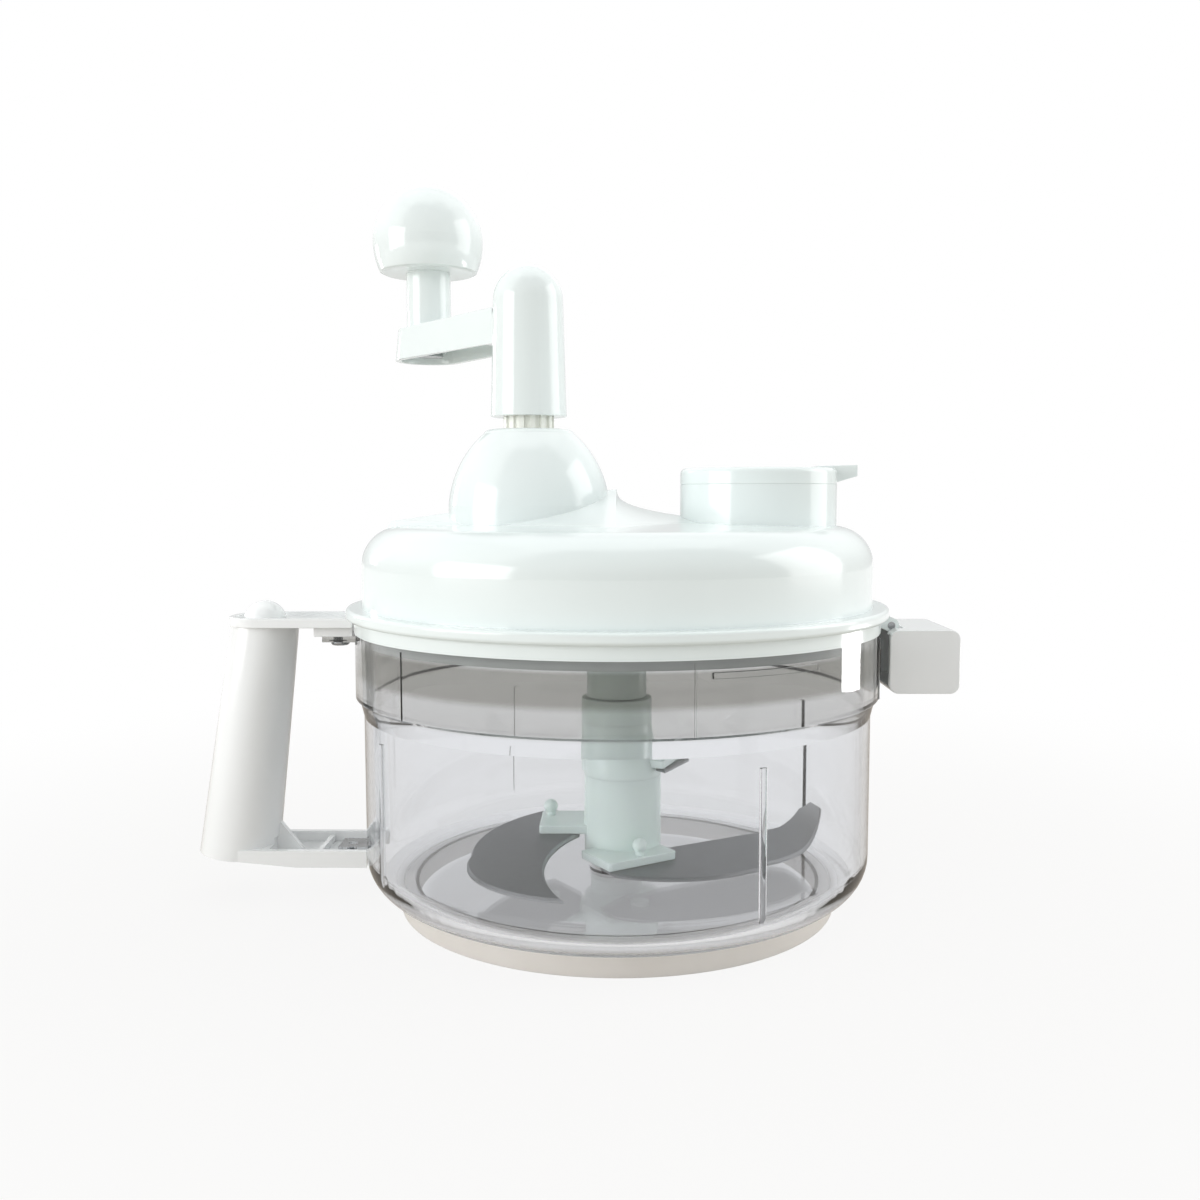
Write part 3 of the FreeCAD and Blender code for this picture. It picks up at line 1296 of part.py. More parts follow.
def makeGearCover():
    body = newBody("gear_cover")
    floor = newSketch(body, "Floor", "XY_Plane", lift="coverBottom")
    drawHull(floor, "coverBigRadius", "coverSmallRadius")
    pad(body, floor, "coverWall")
    wall = newSketch(body, "Wall", "XY_Plane", lift="coverBottom + coverWall")
    drawHull(wall, "coverBigRadius", "coverSmallRadius")
    drawHull(wall, "coverBigRadius - coverWall", "coverSmallRadius - coverWall")
    pad(body, wall, "coverTop - coverBottom - coverWall")
    for k, (x, y, top) in enumerate(coverEars, start=1):
        ear = newSketch(body, f"Ear{k}", "XY_Plane", lift="coverBottom")
        drawCircle(ear, x, y, "coverEarRadius")
        pad(body, ear, "coverWall")
        web = newSketch(body, f"EarWeb{k}", "XY_Plane", lift="coverBottom")
        if y == "0":
            drawBox(web, f"{x} - 2 * coverEarRadius", "-coverEarRadius", x, "coverEarRadius")
        else:
            middle = f"{y} * (1 - 2 * coverEarRadius / coverEarSide)"
            low, high = sorted((middle, y), key=number)
            drawBox(web, f"{x} - coverEarRadius", low, f"{x} + coverEarRadius", high)
        pad(body, web, "coverWall")
    journalTop = "gearBottom - thrustGap"
    bosses = (
        ("-gearOffset", "coverBossRadius", journalTop, "shaftEnd + runningGap"),
        ("0", f"{pinionBush} + coverWall", f"{journalTop} - bushFlange", f"{pinionBush} + pressGap"),
    )
    for k, (x, radius, top, bore) in enumerate(bosses, start=1):
        boss = newSketch(body, f"Boss{k}", "XY_Plane", lift=coverBossBottom)
        drawCircle(boss, x, "0", radius)
        pad(body, boss, f"{top} - ({coverBossBottom})")
        hole = newSketch(body, f"Bore{k}", "XY_Plane", lift="coverBottom")
        drawCircle(hole, x, "0", bore)
        pocket(body, hole)
    for k, (x, y, top) in enumerate(coverEars, start=1):
        hole = newSketch(body, f"ScrewHole{k}", "XY_Plane", lift="coverBottom")
        drawCircle(hole, x, y, "screwRadius + looseGap / 3")
        pocket(body, hole)
    screws = []
    for k, (x, y, top) in enumerate(coverEars, start=1):
        place = (x, y, "coverBottom")
        screw = makeScrew(f"CoverScrew{k}", place, "screwRadius", "coverScrewLength", keep=False)
        screws.append(screw)
    makeGroup("gear_cover_screws", screws)


def fairingSection(body, name, height, drop, nose=None):
    # one level of the fairing: a crest to the left, creases front and back, and a flare to the right
    crest = nose or f"(peakHeight - {height}) / crestFall"
    crease = f"(peakHeight - {height}) / creaseFall"
    flare = f"0.1 + 33.9 * ((peakHeight - {height}) / (peakHeight - fairingStart)) ^ 2.9"
    section = newSketch(body, name, "XY_Plane", lift=f"{height} - {drop}")
    drawOutline(section, [
        (f"-({crest})", "0"),
        ("0", f"-({crease})"),
        (flare, "0"),
        ("0", crease),
    ])
    return section


def fairing(body, drop, kind):
    start = "(peakHeight - fairingStart)"
    nose = f"{start} / crestFall"
    root = fairingSection(body, "Root", "fairingRoot", drop, nose=f"{nose} + noseSlope")
    sections = []
    for k, share in enumerate((1.0, 0.76, 0.52, 0.28, 0.02)):
        level = f"(peakHeight - {start} * {share})"
        sections.append(fairingSection(body, f"Level{k}", level, drop))
    lower = body.newObject(f"PartDesign::{kind}", f"{kind}Lower")
    lower.Profile = root
    lower.Sections = [sections[0]]
    lower.Ruled = True
    copy = fairingSection(body, "Middle", f"(peakHeight - {start} * 1.0)", drop)
    upper = body.newObject(f"PartDesign::{kind}", f"{kind}Upper")
    upper.Profile = copy
    upper.Sections = sections[1:]
    upper.Ruled = False
    for sketch in [root, copy] + sections:
        sketch.Visibility = False


def makeLid():
    body = newBody("lid")
    skirt = "skirtRadius - skirtWall"
    drumInner = "drumRadius - lidWall"
    plugOuter = f"{bowlInner} - plugGap"
    flangeTop = "flangeBottom + flangeThick"
    profile = newSketch(body, "Profile", "XZ_Plane")
    drawOutline(profile, [
        (skirt, "bandTop"),
        ("skirtRadius", "bandTop"),
        ("skirtRadius", "flangeBottom"),
        ("flangeRadius", "flangeBottom", {"round": "flangeRound"}),
        ("flangeRadius", flangeTop, {"round": "flangeRound"}),
        ("drumRadius", flangeTop),
        ("drumRadius", "shoulderHeight", {"round": "shoulderRound"}),
        ("0", "crownHeight"),
        ("0", "crownHeight - lidWall"),
        (drumInner, "shoulderHeight - lidWall", {"round": "shoulderRound - lidWall"}),
        (drumInner, flangeTop),
        (f"{plugOuter} - skirtWall", flangeTop),
        (f"{plugOuter} - skirtWall", "plugBottom"),
        (plugOuter, "plugBottom"),
        (plugOuter, "flangeBottom"),
        (skirt, "flangeBottom"),
    ])
    revolve(body, profile)
    fairing(body, "0", "AdditiveLoft")
    dome = newSketch(body, "Dome", "XZ_Plane", shift="-gearOffset")
    drawOutline(dome, [
        ("0", "fairingRoot"),
        ("domeRadius", "fairingRoot"),
        ("domeRadius", "domeCentre", {"arc": "domeArc", "left": True}),
        ("domeShoulder", "domeTop - domeRound / 2", {"arc": "domeRound", "left": True}),
        ("domeNeck", "domeTop"),
        ("0", "domeTop"),
    ])
    revolve(body, dome)
    fairing(body, "fairingWall", "SubtractiveLoft")
    hollow = newSketch(body, "DomeHollow", "XZ_Plane", shift="-gearOffset")
    drawOutline(hollow, [
        ("0", "coverTop + looseGap"),
        ("domeRadius - lidWall", "coverTop + looseGap"),
        ("domeRadius - lidWall", "domeCentre", {"arc": "domeArc - lidWall", "left": True}),
        ("domeShoulder - lidWall / 2", "domeTop - lidWall - domeRound / 2"),
        ("domeNeck - lidWall / 2", "domeTop - lidWall"),
        ("0", "domeTop - lidWall"),
    ])
    groove(body, hollow)
    bearing = newSketch(body, "Bearing", "XZ_Plane", shift="-gearOffset")
    bearingInner = f"{shaftBush} + pressGap"
    bearingOuter = f"{bearingInner} + bearingWall"
    drawBox(bearing, bearingInner, "bearingBottom", bearingOuter, "domeTop - domeLip")
    revolve(body, bearing)
    bore = newSketch(body, "BearingBore", "XZ_Plane", shift="-gearOffset")
    lipTop = "domeTop + looseGap"
    drawOutline(bore, [
        ("0", "bearingBottom"),
        (bearingInner, "bearingBottom"),
        (bearingInner, "domeTop - domeLip"),
        ("shaftRadius + looseGap", "domeTop - domeLip"),
        ("shaftRadius + looseGap", lipTop),
        ("0", lipTop),
    ])
    groove(body, bore)

    chute = newSketch(body, "Chute", "XY_Plane", lift="chuteBottom")
    drawCircle(chute, "chuteCentre", "0", "chuteRadius")
    pad(body, chute, "chuteTop - chuteBottom")
    opening = newSketch(body, "ChuteBore", "XY_Plane", lift="chuteBottom")
    drawCircle(opening, "chuteCentre", "0", "chuteRadius - chuteWall")
    pocket(body, opening, "chuteTop - chuteBottom", reverse=True)

    bossBottom = f"{shoulderBottom} + coverWall"
    boss = newSketch(body, "PinionBoss", "XY_Plane", lift=bossBottom)
    drawCircle(boss, "0", "0", "pinionBoss")
    pad(body, boss, f"pinionTipTop + 2 * looseGap + coverWall - ({bossBottom})")
    rib = newSketch(body, "BossRib", "XZ_Plane")
    drawOutline(rib, [
        ("-bossRibReach", bossBottom),
        ("pinionTip - pinionBoss - lidWall", bossBottom),
        ("0", "crownHeight"),
        ("0", "peakHeight - lidWall / 2"),
        ("-bossRibReach", "peakHeight - lidWall / 2 - bossRibReach * crestFall"),
    ])
    pad(body, rib, "ribPlate", both=True)
    seat = newSketch(body, "PinionBore", "XY_Plane", lift=bossBottom)
    drawCircle(seat, "0", "0", "pinionTip + runningGap")
    pocket(body, seat, f"pinionTipTop + looseGap - ({bossBottom})", reverse=True)

    for k, (x, y, top) in enumerate(coverEars, start=1):
        post = newSketch(body, f"ScrewBoss{k}", "XY_Plane", lift="coverBottom + coverWall")
        drawCircle(post, x, y, "screwBoss")
        pad(body, post, f"{top} - coverBottom - coverWall")
        hole = newSketch(body, f"ScrewBore{k}", "XY_Plane", lift="coverBottom + coverWall")
        drawCircle(hole, x, y, "screwRadius + pressGap")
        pocket(body, hole, "coverScrewLength - coverWall + 1", reverse=True)

    for sign in ("", "-"):
        earMiddle = f"{sign}(knuckleWidth / 2 + looseGap + earWidth / 2)"
        ear = newSketch(body, "Ear", "XZ_Plane", lift=earMiddle)
        drawOutline(ear, [
            ("skirtRadius - skirtWall / 2", "bandTop + looseGap"),
            ("skirtRadius + looseGap", "bandTop + looseGap"),
            ("latchPinX", "latchPinHeight - knuckleRadius", {"arc": "knuckleRadius", "left": True}),
            ("latchPinX + knuckleRadius", "latchPinHeight", {"arc": "knuckleRadius", "left": True}),
            ("latchPinX", "latchPinHeight + knuckleRadius"),
            ("flangeRadius - flangeRound", "flangeBottom + flangeRound"),
            ("skirtRadius - skirtWall / 2", "flangeBottom + flangeRound"),
        ])
        drawCircle(ear, "latchPinX", "latchPinHeight", "latchPinRadius + pressGap")
        pad(body, ear, "earWidth", both=True)


def makeSeals():
    ring("lid_seal", f"{bowlInner} + looseGap", "rimRadius - runningGap", "rimTop", "flangeBottom")
    grooveInner = "chuteRadius - chuteWall - capPlugGap - capSealDepth"
    low = "chuteTop - capPlug / 2"
    ring(
        "cap_seal",
        f"{grooveInner} + pressGap",
        "chuteRadius - chuteWall - runningGap",
        f"{low} + pressGap",
        f"{low} + capSealHeight - pressGap",
        "chuteCentre",
    )


def makeFeedCap():
    body = newBody("feed_cap", x="chuteCentre")
    plug = "chuteRadius - chuteWall - capPlugGap"
    low = "chuteTop - capPlug / 2"
    profile = newSketch(body, "Profile", "XZ_Plane")
    drawOutline(profile, [
        (f"{plug} - capWall", "chuteTop - capPlug"),
        (plug, "chuteTop - capPlug"),
        (plug, low),
        (f"{plug} - capSealDepth", low),
        (f"{plug} - capSealDepth", f"{low} + capSealHeight"),
        (plug, f"{low} + capSealHeight"),
        (plug, "chuteTop"),
        ("chuteRadius", "chuteTop"),
        ("chuteRadius", "chuteTop + capThick", {"round": "capRound"}),
        ("0", "chuteTop + capThick"),
        ("0", "chuteTop + capThick - capWall"),
        (f"{plug} - capWall", "chuteTop + capThick - capWall"),
    ])
    revolve(body, profile)
    top = "chuteTop + capThick + tabRise"
    tab = newSketch(body, "Tab", "XZ_Plane")
    drawOutline(tab, [
        ("tabStart - chuteCentre", "chuteTop + capThick / 2"),
        ("chuteRadius - capWall", "chuteTop + looseGap"),
        ("tabEnd - chuteCentre", f"{top} - tabThick"),
        ("tabEnd - chuteCentre", f"{top} + looseGap"),
        ("tabStart - chuteCentre", top),
    ])
    pad(body, tab, "tabWidth", both=True)


def makeSideLatch():
    body = newBody("side_latch")
    block = newSketch(body, "Block", "XZ_Plane")
    drawBox(block, "latchInner", "latchBottom", "latchOuter", "latchTop", "latchRound")
    pad(body, block, "latchWidth", both=True)
    hollow = newSketch(body, "Hollow", "YZ_Plane", lift="latchInner")
    drawBox(
        hollow,
        "latchWall - latchWidth / 2",
        "latchBottom + latchWall",
        "latchWidth / 2 - latchWall",
        "latchTop - latchWall",
    )
    pocket(body, hollow, "latchOuter - latchInner - latchWall", reverse=True)
    notch = newSketch(body, "Notch", "XZ_Plane")
    drawBox(
        notch,
        "latchInner - 1",
        "latchPinHeight - latchNotch",
        "latchPinX + latchNotch",
        "latchTop + 1",
    )
    pocket(body, notch, "knuckleWidth + 2 * earWidth + 4 * looseGap", both=True)
    web = newSketch(body, "Web", "XZ_Plane")
    drawOutline(web, [
        ("latchPinX", "latchPinHeight - knuckleRadius"),
        ("latchPinX + latchNotch + latchWall", "latchPinHeight - knuckleRadius"),
        ("latchPinX + latchNotch + latchWall", "latchTop"),
        ("latchPinX + latchNotch", "latchTop", {"arc": "latchNotch * 2", "left": True}),
        ("latchPinX", "latchPinHeight + knuckleRadius", {"arc": "knuckleRadius", "left": True}),
        ("latchPinX - knuckleRadius", "latchPinHeight", {"arc": "knuckleRadius", "left": True}),
    ])
    drawCircle(web, "latchPinX", "latchPinHeight", "latchPinRadius + runningGap")
    pad(body, web, "knuckleWidth", both=True)
    latchPin = newBody("latch_pin")
    section = newSketch(latchPin, "Section", "XZ_Plane")
    drawCircle(section, "latchPinX", "latchPinHeight", "latchPinRadius")
    pad(latchPin, section, "knuckleWidth + 2 * earWidth + 4 * looseGap / 3", both=True)


def makeHandleGrip():
    body = newBody("handle_grip")
    slope = "(gripBottomX - gripTopX) / (armPlateBottom - trayBottom)"
    narrow = "(gripBottomRadius - gripTopRadius) / (armPlateBottom - trayBottom)"
    circles = []
    for name, height, wall in (
        ("Foot", "trayBottom", "0"),
        ("Head", "armPlateBottom", "0"),
        ("HollowFoot", "trayBottom", "gripWall"),
        ("HollowHead", "gripHollowTop", "gripWall"),
    ):
        rise = f"({height} - trayBottom)"
        radius = f"gripBottomRadius - {narrow} * {rise} - {wall}"
        circle = newSketch(body, name, "XY_Plane", lift=height)
        drawCircle(circle, f"{slope} * {rise} - gripBottomX", "0", radius)
        circle.Visibility = False
        circles.append(circle)
    grip = body.newObject("PartDesign::AdditiveLoft", "Grip")
    grip.Profile = circles[0]
    grip.Sections = [circles[1]]

    tray = newSketch(body, "Tray", "XY_Plane", lift="trayBottom")
    drawBox(tray, "-gripBottomX", "-trayWidth / 2", "-bowlRadius / 2", "trayWidth / 2")
    pad(body, tray, "trayTop - trayBottom")
    inside = newSketch(body, "TrayInside", "XY_Plane", lift="trayBottom + trayFloor")
    drawBox(
        inside,
        "gripBottomRadius - gripBottomX",
        "trayWall - trayWidth / 2",
        "1 - bowlRadius / 2",
        "trayWidth / 2 - trayWall",
    )
    pocket(body, inside, "trayTop - trayBottom", reverse=True)
    rib = newSketch(body, "TrayRib", "XZ_Plane")
    drawBox(rib, "-trayRibX", "trayBottom + 1", "trayRibWidth - trayRibX", "trayTop - 1")
    pad(body, rib, "trayWidth - trayWall", both=True)
    gusset = newSketch(body, "Gusset", "XZ_Plane")
    drawOutline(gusset, [
        ("-gripBottomX", "trayBottom + 1"),
        ("gripBottomRadius + gussetLength - gripBottomX", "trayBottom + 1"),
        ("gripBottomRadius + gussetLength - gripBottomX", "trayBottom + trayFloor"),
        ("gripBottomRadius - gripBottomX", "trayTop + gussetHeight"),
        ("-gripBottomX", "trayTop + gussetHeight"),
    ])
    pad(body, gusset, "trayWall", both=True)
    hollow = body.newObject("PartDesign::SubtractiveLoft", "GripHollow")
    hollow.Profile = circles[2]
    hollow.Sections = [circles[3]]
    slant = newSketch(body, "Slant", "XZ_Plane")
    drawOutline(slant, [
        ("-gripBottomX - 2 * gripBottomRadius", "trayBottom - 1"),
        ("gripBottomRadius + gussetLength - gripBottomX", "trayBottom - 1"),
        ("gripBottomRadius + gussetLength - gripBottomX", "trayBottom"),
        ("-gripBottomX - 2 * gripBottomRadius", "trayBottom + trayRise"),
    ])
    pocket(body, slant, "4 * gripBottomRadius", both=True)
    wall = newSketch(body, "BowlClearance", "XY_Plane")
    drawCircle(wall, "0", "0", "bowlRadius + trayGap")
    pocket(body, wall)
    screwHole = newSketch(body, "LowerScrewHole", "XY_Plane", lift="trayBottom")
    drawCircle(screwHole, "-lowerScrewX", "0", "screwRadius + looseGap / 3")
    pocket(body, screwHole, "trayFloor", reverse=True)
    tie = newSketch(body, "TieBore", "XY_Plane", lift="armPlateBottom")
    drawCircle(tie, "-gripTopX", "0", "tieRadius + pressGap")
    pocket(body, tie, "tieLength")


def makeHandleTopArm():
    body = newBody("handle_top_arm")
    half = "armPlateWidth / 2"
    plate = newSketch(body, "Plate", "XY_Plane", lift="armPlateBottom")
    left = "-gripTopX - gripTopRadius"
    drawOutline(plate, [
        (left, f"-{half}", {"round": "armPlateRound"}),
        ("-bowlRadius / 2", f"-{half}"),
        ("-bowlRadius / 2", half),
        (left, half, {"round": "armPlateRound"}),
    ])
    pad(body, plate, "armPlateThick")
    foot = newSketch(body, "Foot", "XY_Plane", lift="upperLugTop")
    footLeft = "-skirtRadius - armPlateGap - armFootLength"
    drawBox(foot, footLeft, "-armFootWidth / 2", "-bowlRadius / 2", "armFootWidth / 2")
    pad(body, foot, "armPlateBottom - upperLugTop")
    clear = newSketch(body, "LidClearance", "XY_Plane")
    drawCircle(clear, "0", "0", "skirtRadius + armPlateGap")
    pocket(body, clear)
    recess = newSketch(body, "Recess", "XY_Plane", lift="armPlateBottom + armPlateThick")
    inner = f"{half} - armPlateRim"
    drawOutline(recess, [
        (f"{left} + armPlateRim", f"-({inner})", {"round": "armPlateRound - armPlateRim"}),
        ("-skirtRadius - armPlateGap - armPlateRim * 2", f"-({inner})", {"round": "armPlateRim"}),
        ("-skirtRadius - armPlateGap - armPlateRim * 2", inner, {"round": "armPlateRim"}),
        (f"{left} + armPlateRim", inner, {"round": "armPlateRound - armPlateRim"}),
    ])
    pocket(body, recess, "armPlateRecess")
    seat = newSketch(body, "TieSeat", "XY_Plane", lift="armPlateBottom + armPlateThick")
    drawCircle(seat, "-gripTopX", "0", "tieHead + looseGap")
    pocket(body, seat, "armPlateThick - tieLedge")
    hole = newSketch(body, "TieHole", "XY_Plane", lift="armPlateBottom + tieLedge")
    drawCircle(hole, "-gripTopX", "0", "tieRadius + looseGap / 3")
    pocket(body, hole, "tieLedge")
    blind = newSketch(body, "LugBore", "XY_Plane", lift="upperLugTop")
    drawCircle(blind, "-lugScrewX", "0", "screwRadius + pressGap")
    pocket(body, blind, "lugScrewLength - upperLugThick + looseGap", reverse=True)


def makeHandleScrews():
    low = "armPlateBottom + armPlateThick - armPlateRecess"
    hollow = "tieHead + 2 * looseGap"
    dome = crownRadius("capDomeRadius", "capDomeHeight")
    turned("handle_cap", [
        (hollow, low),
        ("capDomeRadius", low),
        ("capDomeRadius", f"{low} + capDomeLip", {"arc": dome, "left": True}),
        ("0", f"{low} + capDomeLip + capDomeHeight"),
        ("0", "armPlateBottom + tieLedge + tieHeadThick + looseGap"),
        (hollow, "armPlateBottom + tieLedge + tieHeadThick + looseGap"),
    ], x="-gripTopX")
    makeScrew(
        "handle_tie_screw",
        ("-gripTopX", "0", "armPlateBottom + tieLedge"),
        "tieRadius",
        "tieLength",
        head="tieHead",
        thick="tieHeadThick",
        flip=True,
    )
    upper = ("-lugScrewX", "0", "upperLugTop - upperLugThick")
    lower = ("-lowerScrewX", "0", "trayBottom")
    makeGroup("handle_screws", [
        makeScrew("UpperHandleScrew", upper, "screwRadius", "lugScrewLength", keep=False),
        makeScrew("LowerHandleScrew", lower, "screwRadius", "lowerScrewLength", keep=False),
    ])


steps = [
    makeBowl,
    makeNonSlipBase,
    makeSpindle,
    makeBladeColumn,
    makeSideBlade,
    makeUpperBlade,
    makeSweptBlade,
    makeBladeRivets,
    makeCrankShaft,
    makeBushes,
    makeCrankGear,
    makeDrivePinion,
    makeDriveShaft,
    makeCrankArm,
    makeKnob,
    makeGearCover,
    makeLid,
    makeSeals,
    makeFeedCap,
    makeSideLatch,
    makeHandleGrip,
    makeHandleTopArm,
    makeHandleScrews,
]
for step in steps:
    step()
doc.recompute()

faults = []
for item in doc.Objects:
    if "Invalid" in item.State or "Error" in item.State:
        faults.append(f"{item.Label} is {item.State}")
for piece in pieces:
    if piece.Shape.isNull() or not piece.Shape.isValid():
        faults.append(f"{piece.Label} has no valid shape")
if faults:
    raise SystemExit("\n".join(faults))

os.makedirs("parts", exist_ok=True)
for piece in pieces:
    piece.Shape.exportStep(os.path.join("parts", f"{piece.Label}.step"))
    print(f"{piece.Label}: {len(piece.Shape.Solids)} solid(s), volume {piece.Shape.Volume:.1f}")
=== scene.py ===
import json
import math
import bmesh
import bpy
from mathutils import Matrix, Vector


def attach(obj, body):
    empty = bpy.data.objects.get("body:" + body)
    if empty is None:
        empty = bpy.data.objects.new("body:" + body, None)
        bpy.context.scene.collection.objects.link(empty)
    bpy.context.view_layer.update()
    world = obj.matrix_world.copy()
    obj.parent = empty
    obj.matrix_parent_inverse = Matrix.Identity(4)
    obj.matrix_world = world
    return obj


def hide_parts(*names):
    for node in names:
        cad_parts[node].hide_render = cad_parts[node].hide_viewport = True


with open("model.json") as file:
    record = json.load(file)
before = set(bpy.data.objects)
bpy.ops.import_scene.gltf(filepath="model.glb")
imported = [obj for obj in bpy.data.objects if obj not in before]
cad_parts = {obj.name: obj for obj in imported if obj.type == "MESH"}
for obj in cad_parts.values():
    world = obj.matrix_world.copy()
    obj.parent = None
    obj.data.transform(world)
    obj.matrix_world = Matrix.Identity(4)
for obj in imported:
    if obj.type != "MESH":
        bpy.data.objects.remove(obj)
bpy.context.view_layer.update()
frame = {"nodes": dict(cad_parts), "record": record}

nodes = frame["nodes"]
scene = bpy.context.scene
mm = 0.001
colourOutput = 2  # of the Mix node's three results, the one for colours
white = (1, 1, 1, 1)


def hexColour(text):
    # sRGB hex to the linear values that the shaders take
    channels = [int(text[i:i + 2], 16) / 255 for i in (1, 3, 5)]
    linear = [c / 12.92 if c <= 0.04045 else ((c + 0.055) / 1.055) ** 2.4 for c in channels]
    return (*linear, 1.0)


def addNode(owner, kind, settings=None, links=None):
    # A node of a material or the world, with its values, by socket name or number or by property,
    # and what feeds its sockets. Of several sockets with one name, the one in use counts.
    node = owner.node_tree.nodes.new(kind)

    def socket(name):
        if isinstance(name, int):
            return node.inputs[name]
        return next((s for s in node.inputs if s.name == name and s.enabled), None)

    for name, value in (settings or {}).items():
        if socket(name):
            socket(name).default_value = value
        else:
            setattr(node, name, value)
    for name, source in (links or {}).items():
        owner.node_tree.links.new(source, socket(name))
    return node


def newMaterial(name):
    material = bpy.data.materials.new(name)
    material.use_nodes = True
    material.node_tree.nodes.clear()
    return material


def finishMaterial(material, shader):
    addNode(material, "ShaderNodeOutputMaterial", links={"Surface": shader})
    return material


mouldedSkin = {
    "driftDetail": 2.0,
    "driftRough": 0.5,
    "peelDetail": 3.0,
    "peelDepth": 0.02,   # mm
    "bestGloss": 0.85,   # share of the roughness where the mould was polished best
    "worstGloss": 1.2,   # and where it was worn
    "glowTint": (1.0, 1.0, 0.9),
}


def mouldedPlastic(name, look):
    # Injection-moulded plastic: a glossy skin with a faint orange peel, a slight drift of the
    # colour where the wall is thicker, and a gloss that is a little uneven.
    material = newMaterial(name)
    place = addNode(material, "ShaderNodeTexCoord").outputs["Object"]
    drift = addNode(
        material, "ShaderNodeTexNoise",
        {
            "Scale": 1 / (look["driftMm"] * mm),
            "Detail": mouldedSkin["driftDetail"], "Roughness": mouldedSkin["driftRough"],
        },
        {"Vector": place},
    )
    colour = addNode(
        material, "ShaderNodeMix",
        {"data_type": "RGBA", "A": hexColour(look["colour"]), "B": hexColour(look["shade"])},
        {"Factor": drift.outputs["Fac"]},
    )
    peel = addNode(
        material, "ShaderNodeTexNoise",
        {"Scale": 1 / (look["peelMm"] * mm), "Detail": mouldedSkin["peelDetail"]},
        {"Vector": place},
    )
    gloss = addNode(
        material, "ShaderNodeMapRange",
        {
            "To Min": look["roughness"] * mouldedSkin["bestGloss"],
            "To Max": look["roughness"] * mouldedSkin["worstGloss"],
        },
        {"Value": drift.outputs["Fac"]},
    )
    bump = addNode(
        material, "ShaderNodeBump",
        {"Strength": look["peel"], "Distance": mouldedSkin["peelDepth"] * mm},
        {"Height": peel.outputs["Fac"]},
    )
    shader = addNode(
        material, "ShaderNodeBsdfPrincipled",
        {
            "IOR": look["ior"],
            "Subsurface Weight": look.get("glow", 0.0),
            "Subsurface Scale": look.get("glowMm", 1.0) * mm,
            "Subsurface Radius": mouldedSkin["glowTint"],
        },
        {
            "Base Color": colour.outputs[colourOutput],
            "Roughness": gloss.outputs["Result"],
            "Normal": bump.outputs["Normal"],
        },
    )
    return finishMaterial(material, shader.outputs["BSDF"])


# polished ABS, faintly green, with a deep gloss: the lid, its cap, the crank and the knob
coolWhiteAbs = mouldedPlastic("coolWhiteGlossyAbs", {
    "colour": "#F1F7F6", "shade": "#EAF2F1", "driftMm": 60, "peelMm": 1.2, "peel": 0.12,
    "roughness": 0.12, "ior": 1.6,
})
# the same ABS in a neutral white, a little less polished: the handle and the latch
whiteAbs = mouldedPlastic("whiteGlossyAbs", {
    "colour": "#FAFBFB", "shade": "#F4F5F5", "driftMm": 60, "peelMm": 1.2, "peel": 0.12,
    "roughness": 0.14, "ior": 1.6,
})
# pale green polypropylene, waxy and soft in the gloss, through which some light goes
mintPolypropylene = mouldedPlastic("mintPolypropylene", {
    "colour": "#EAF6F0", "shade": "#E2F0EA", "driftMm": 25, "peelMm": 1.0, "peel": 0.15,
    "roughness": 0.24, "ior": 1.49, "glow": 0.3, "glowMm": 3.0,
})
# natural nylon, cream and satin
creamNylon = mouldedPlastic("creamNylon", {
    "colour": "#FFFFFA", "shade": "#FCFDF5", "driftMm": 20, "peelMm": 0.8, "peel": 0.2,
    "roughness": 0.3, "ior": 1.53,
})
# natural acetal, satin and slightly yellow: the gears and washers
gearAcetal = mouldedPlastic("gearAcetal", {
    "colour": "#ECEBE2", "shade": "#E3E2D8", "driftMm": 15, "peelMm": 0.6, "peel": 0.2,
    "roughness": 0.35, "ior": 1.48,
})
# black acetal, satin: the bushes
darkAcetal = mouldedPlastic("darkAcetal", {
    "colour": "#3A3B3E", "shade": "#333437", "driftMm": 10, "peelMm": 0.5, "peel": 0.2,
    "roughness": 0.4, "ior": 1.48,
})
# thermoplastic elastomer, milky and nearly matt: the soft ring under the bowl
milkyElastomer = mouldedPlastic("milkyElastomer", {
    "colour": "#E9E5E0", "shade": "#DFDAD4", "driftMm": 18, "peelMm": 0.7, "peel": 0.35,
    "roughness": 0.45, "ior": 1.42, "glow": 0.3, "glowMm": 2.0,
})
# grey silicone rubber, matt: the seals
greySilicone = mouldedPlastic("greySilicone", {
    "colour": "#C9CCCC", "shade": "#BEC2C2", "driftMm": 14, "peelMm": 0.6, "peel": 0.3,
    "roughness": 0.5, "ior": 1.41,
})


bowlPlastic = {
    "clear": "#F2F3F5",
    "pale": "#D0D0CF",
    "smoky": "#A3A29D",
    "roughness": 0.02,
    "ior": 1.57,
    "bandMm": (             # heights on the wall and the tone there
        (0, "clear"), (67, "clear"), (69, "pale"), (75, "pale"), (77, "smoky"),
        # the pale stop at 86.2 mm is painted light: it clears the band's top so that the lid's
        # plug ring, in shade behind it, shows lighter
        (85.2, "smoky"), (86.2, "pale"),
    ),
    "spanMm": 100,          # height that the colour ramp covers
    "depthColour": "#8E9094",
    "density": 4,           # how fast that colour grows with the way through the plastic
    "faces": 2,             # of a wall that a shadow ray meets
    "frost": 0.65,          # roughness of the matt strip round the foot, over the base ring
    "frostMm": (8.4, 10.0),      # heights between which it ends
    "frostReach": (68.8, 69.6),  # mm from the axis, where it begins
}


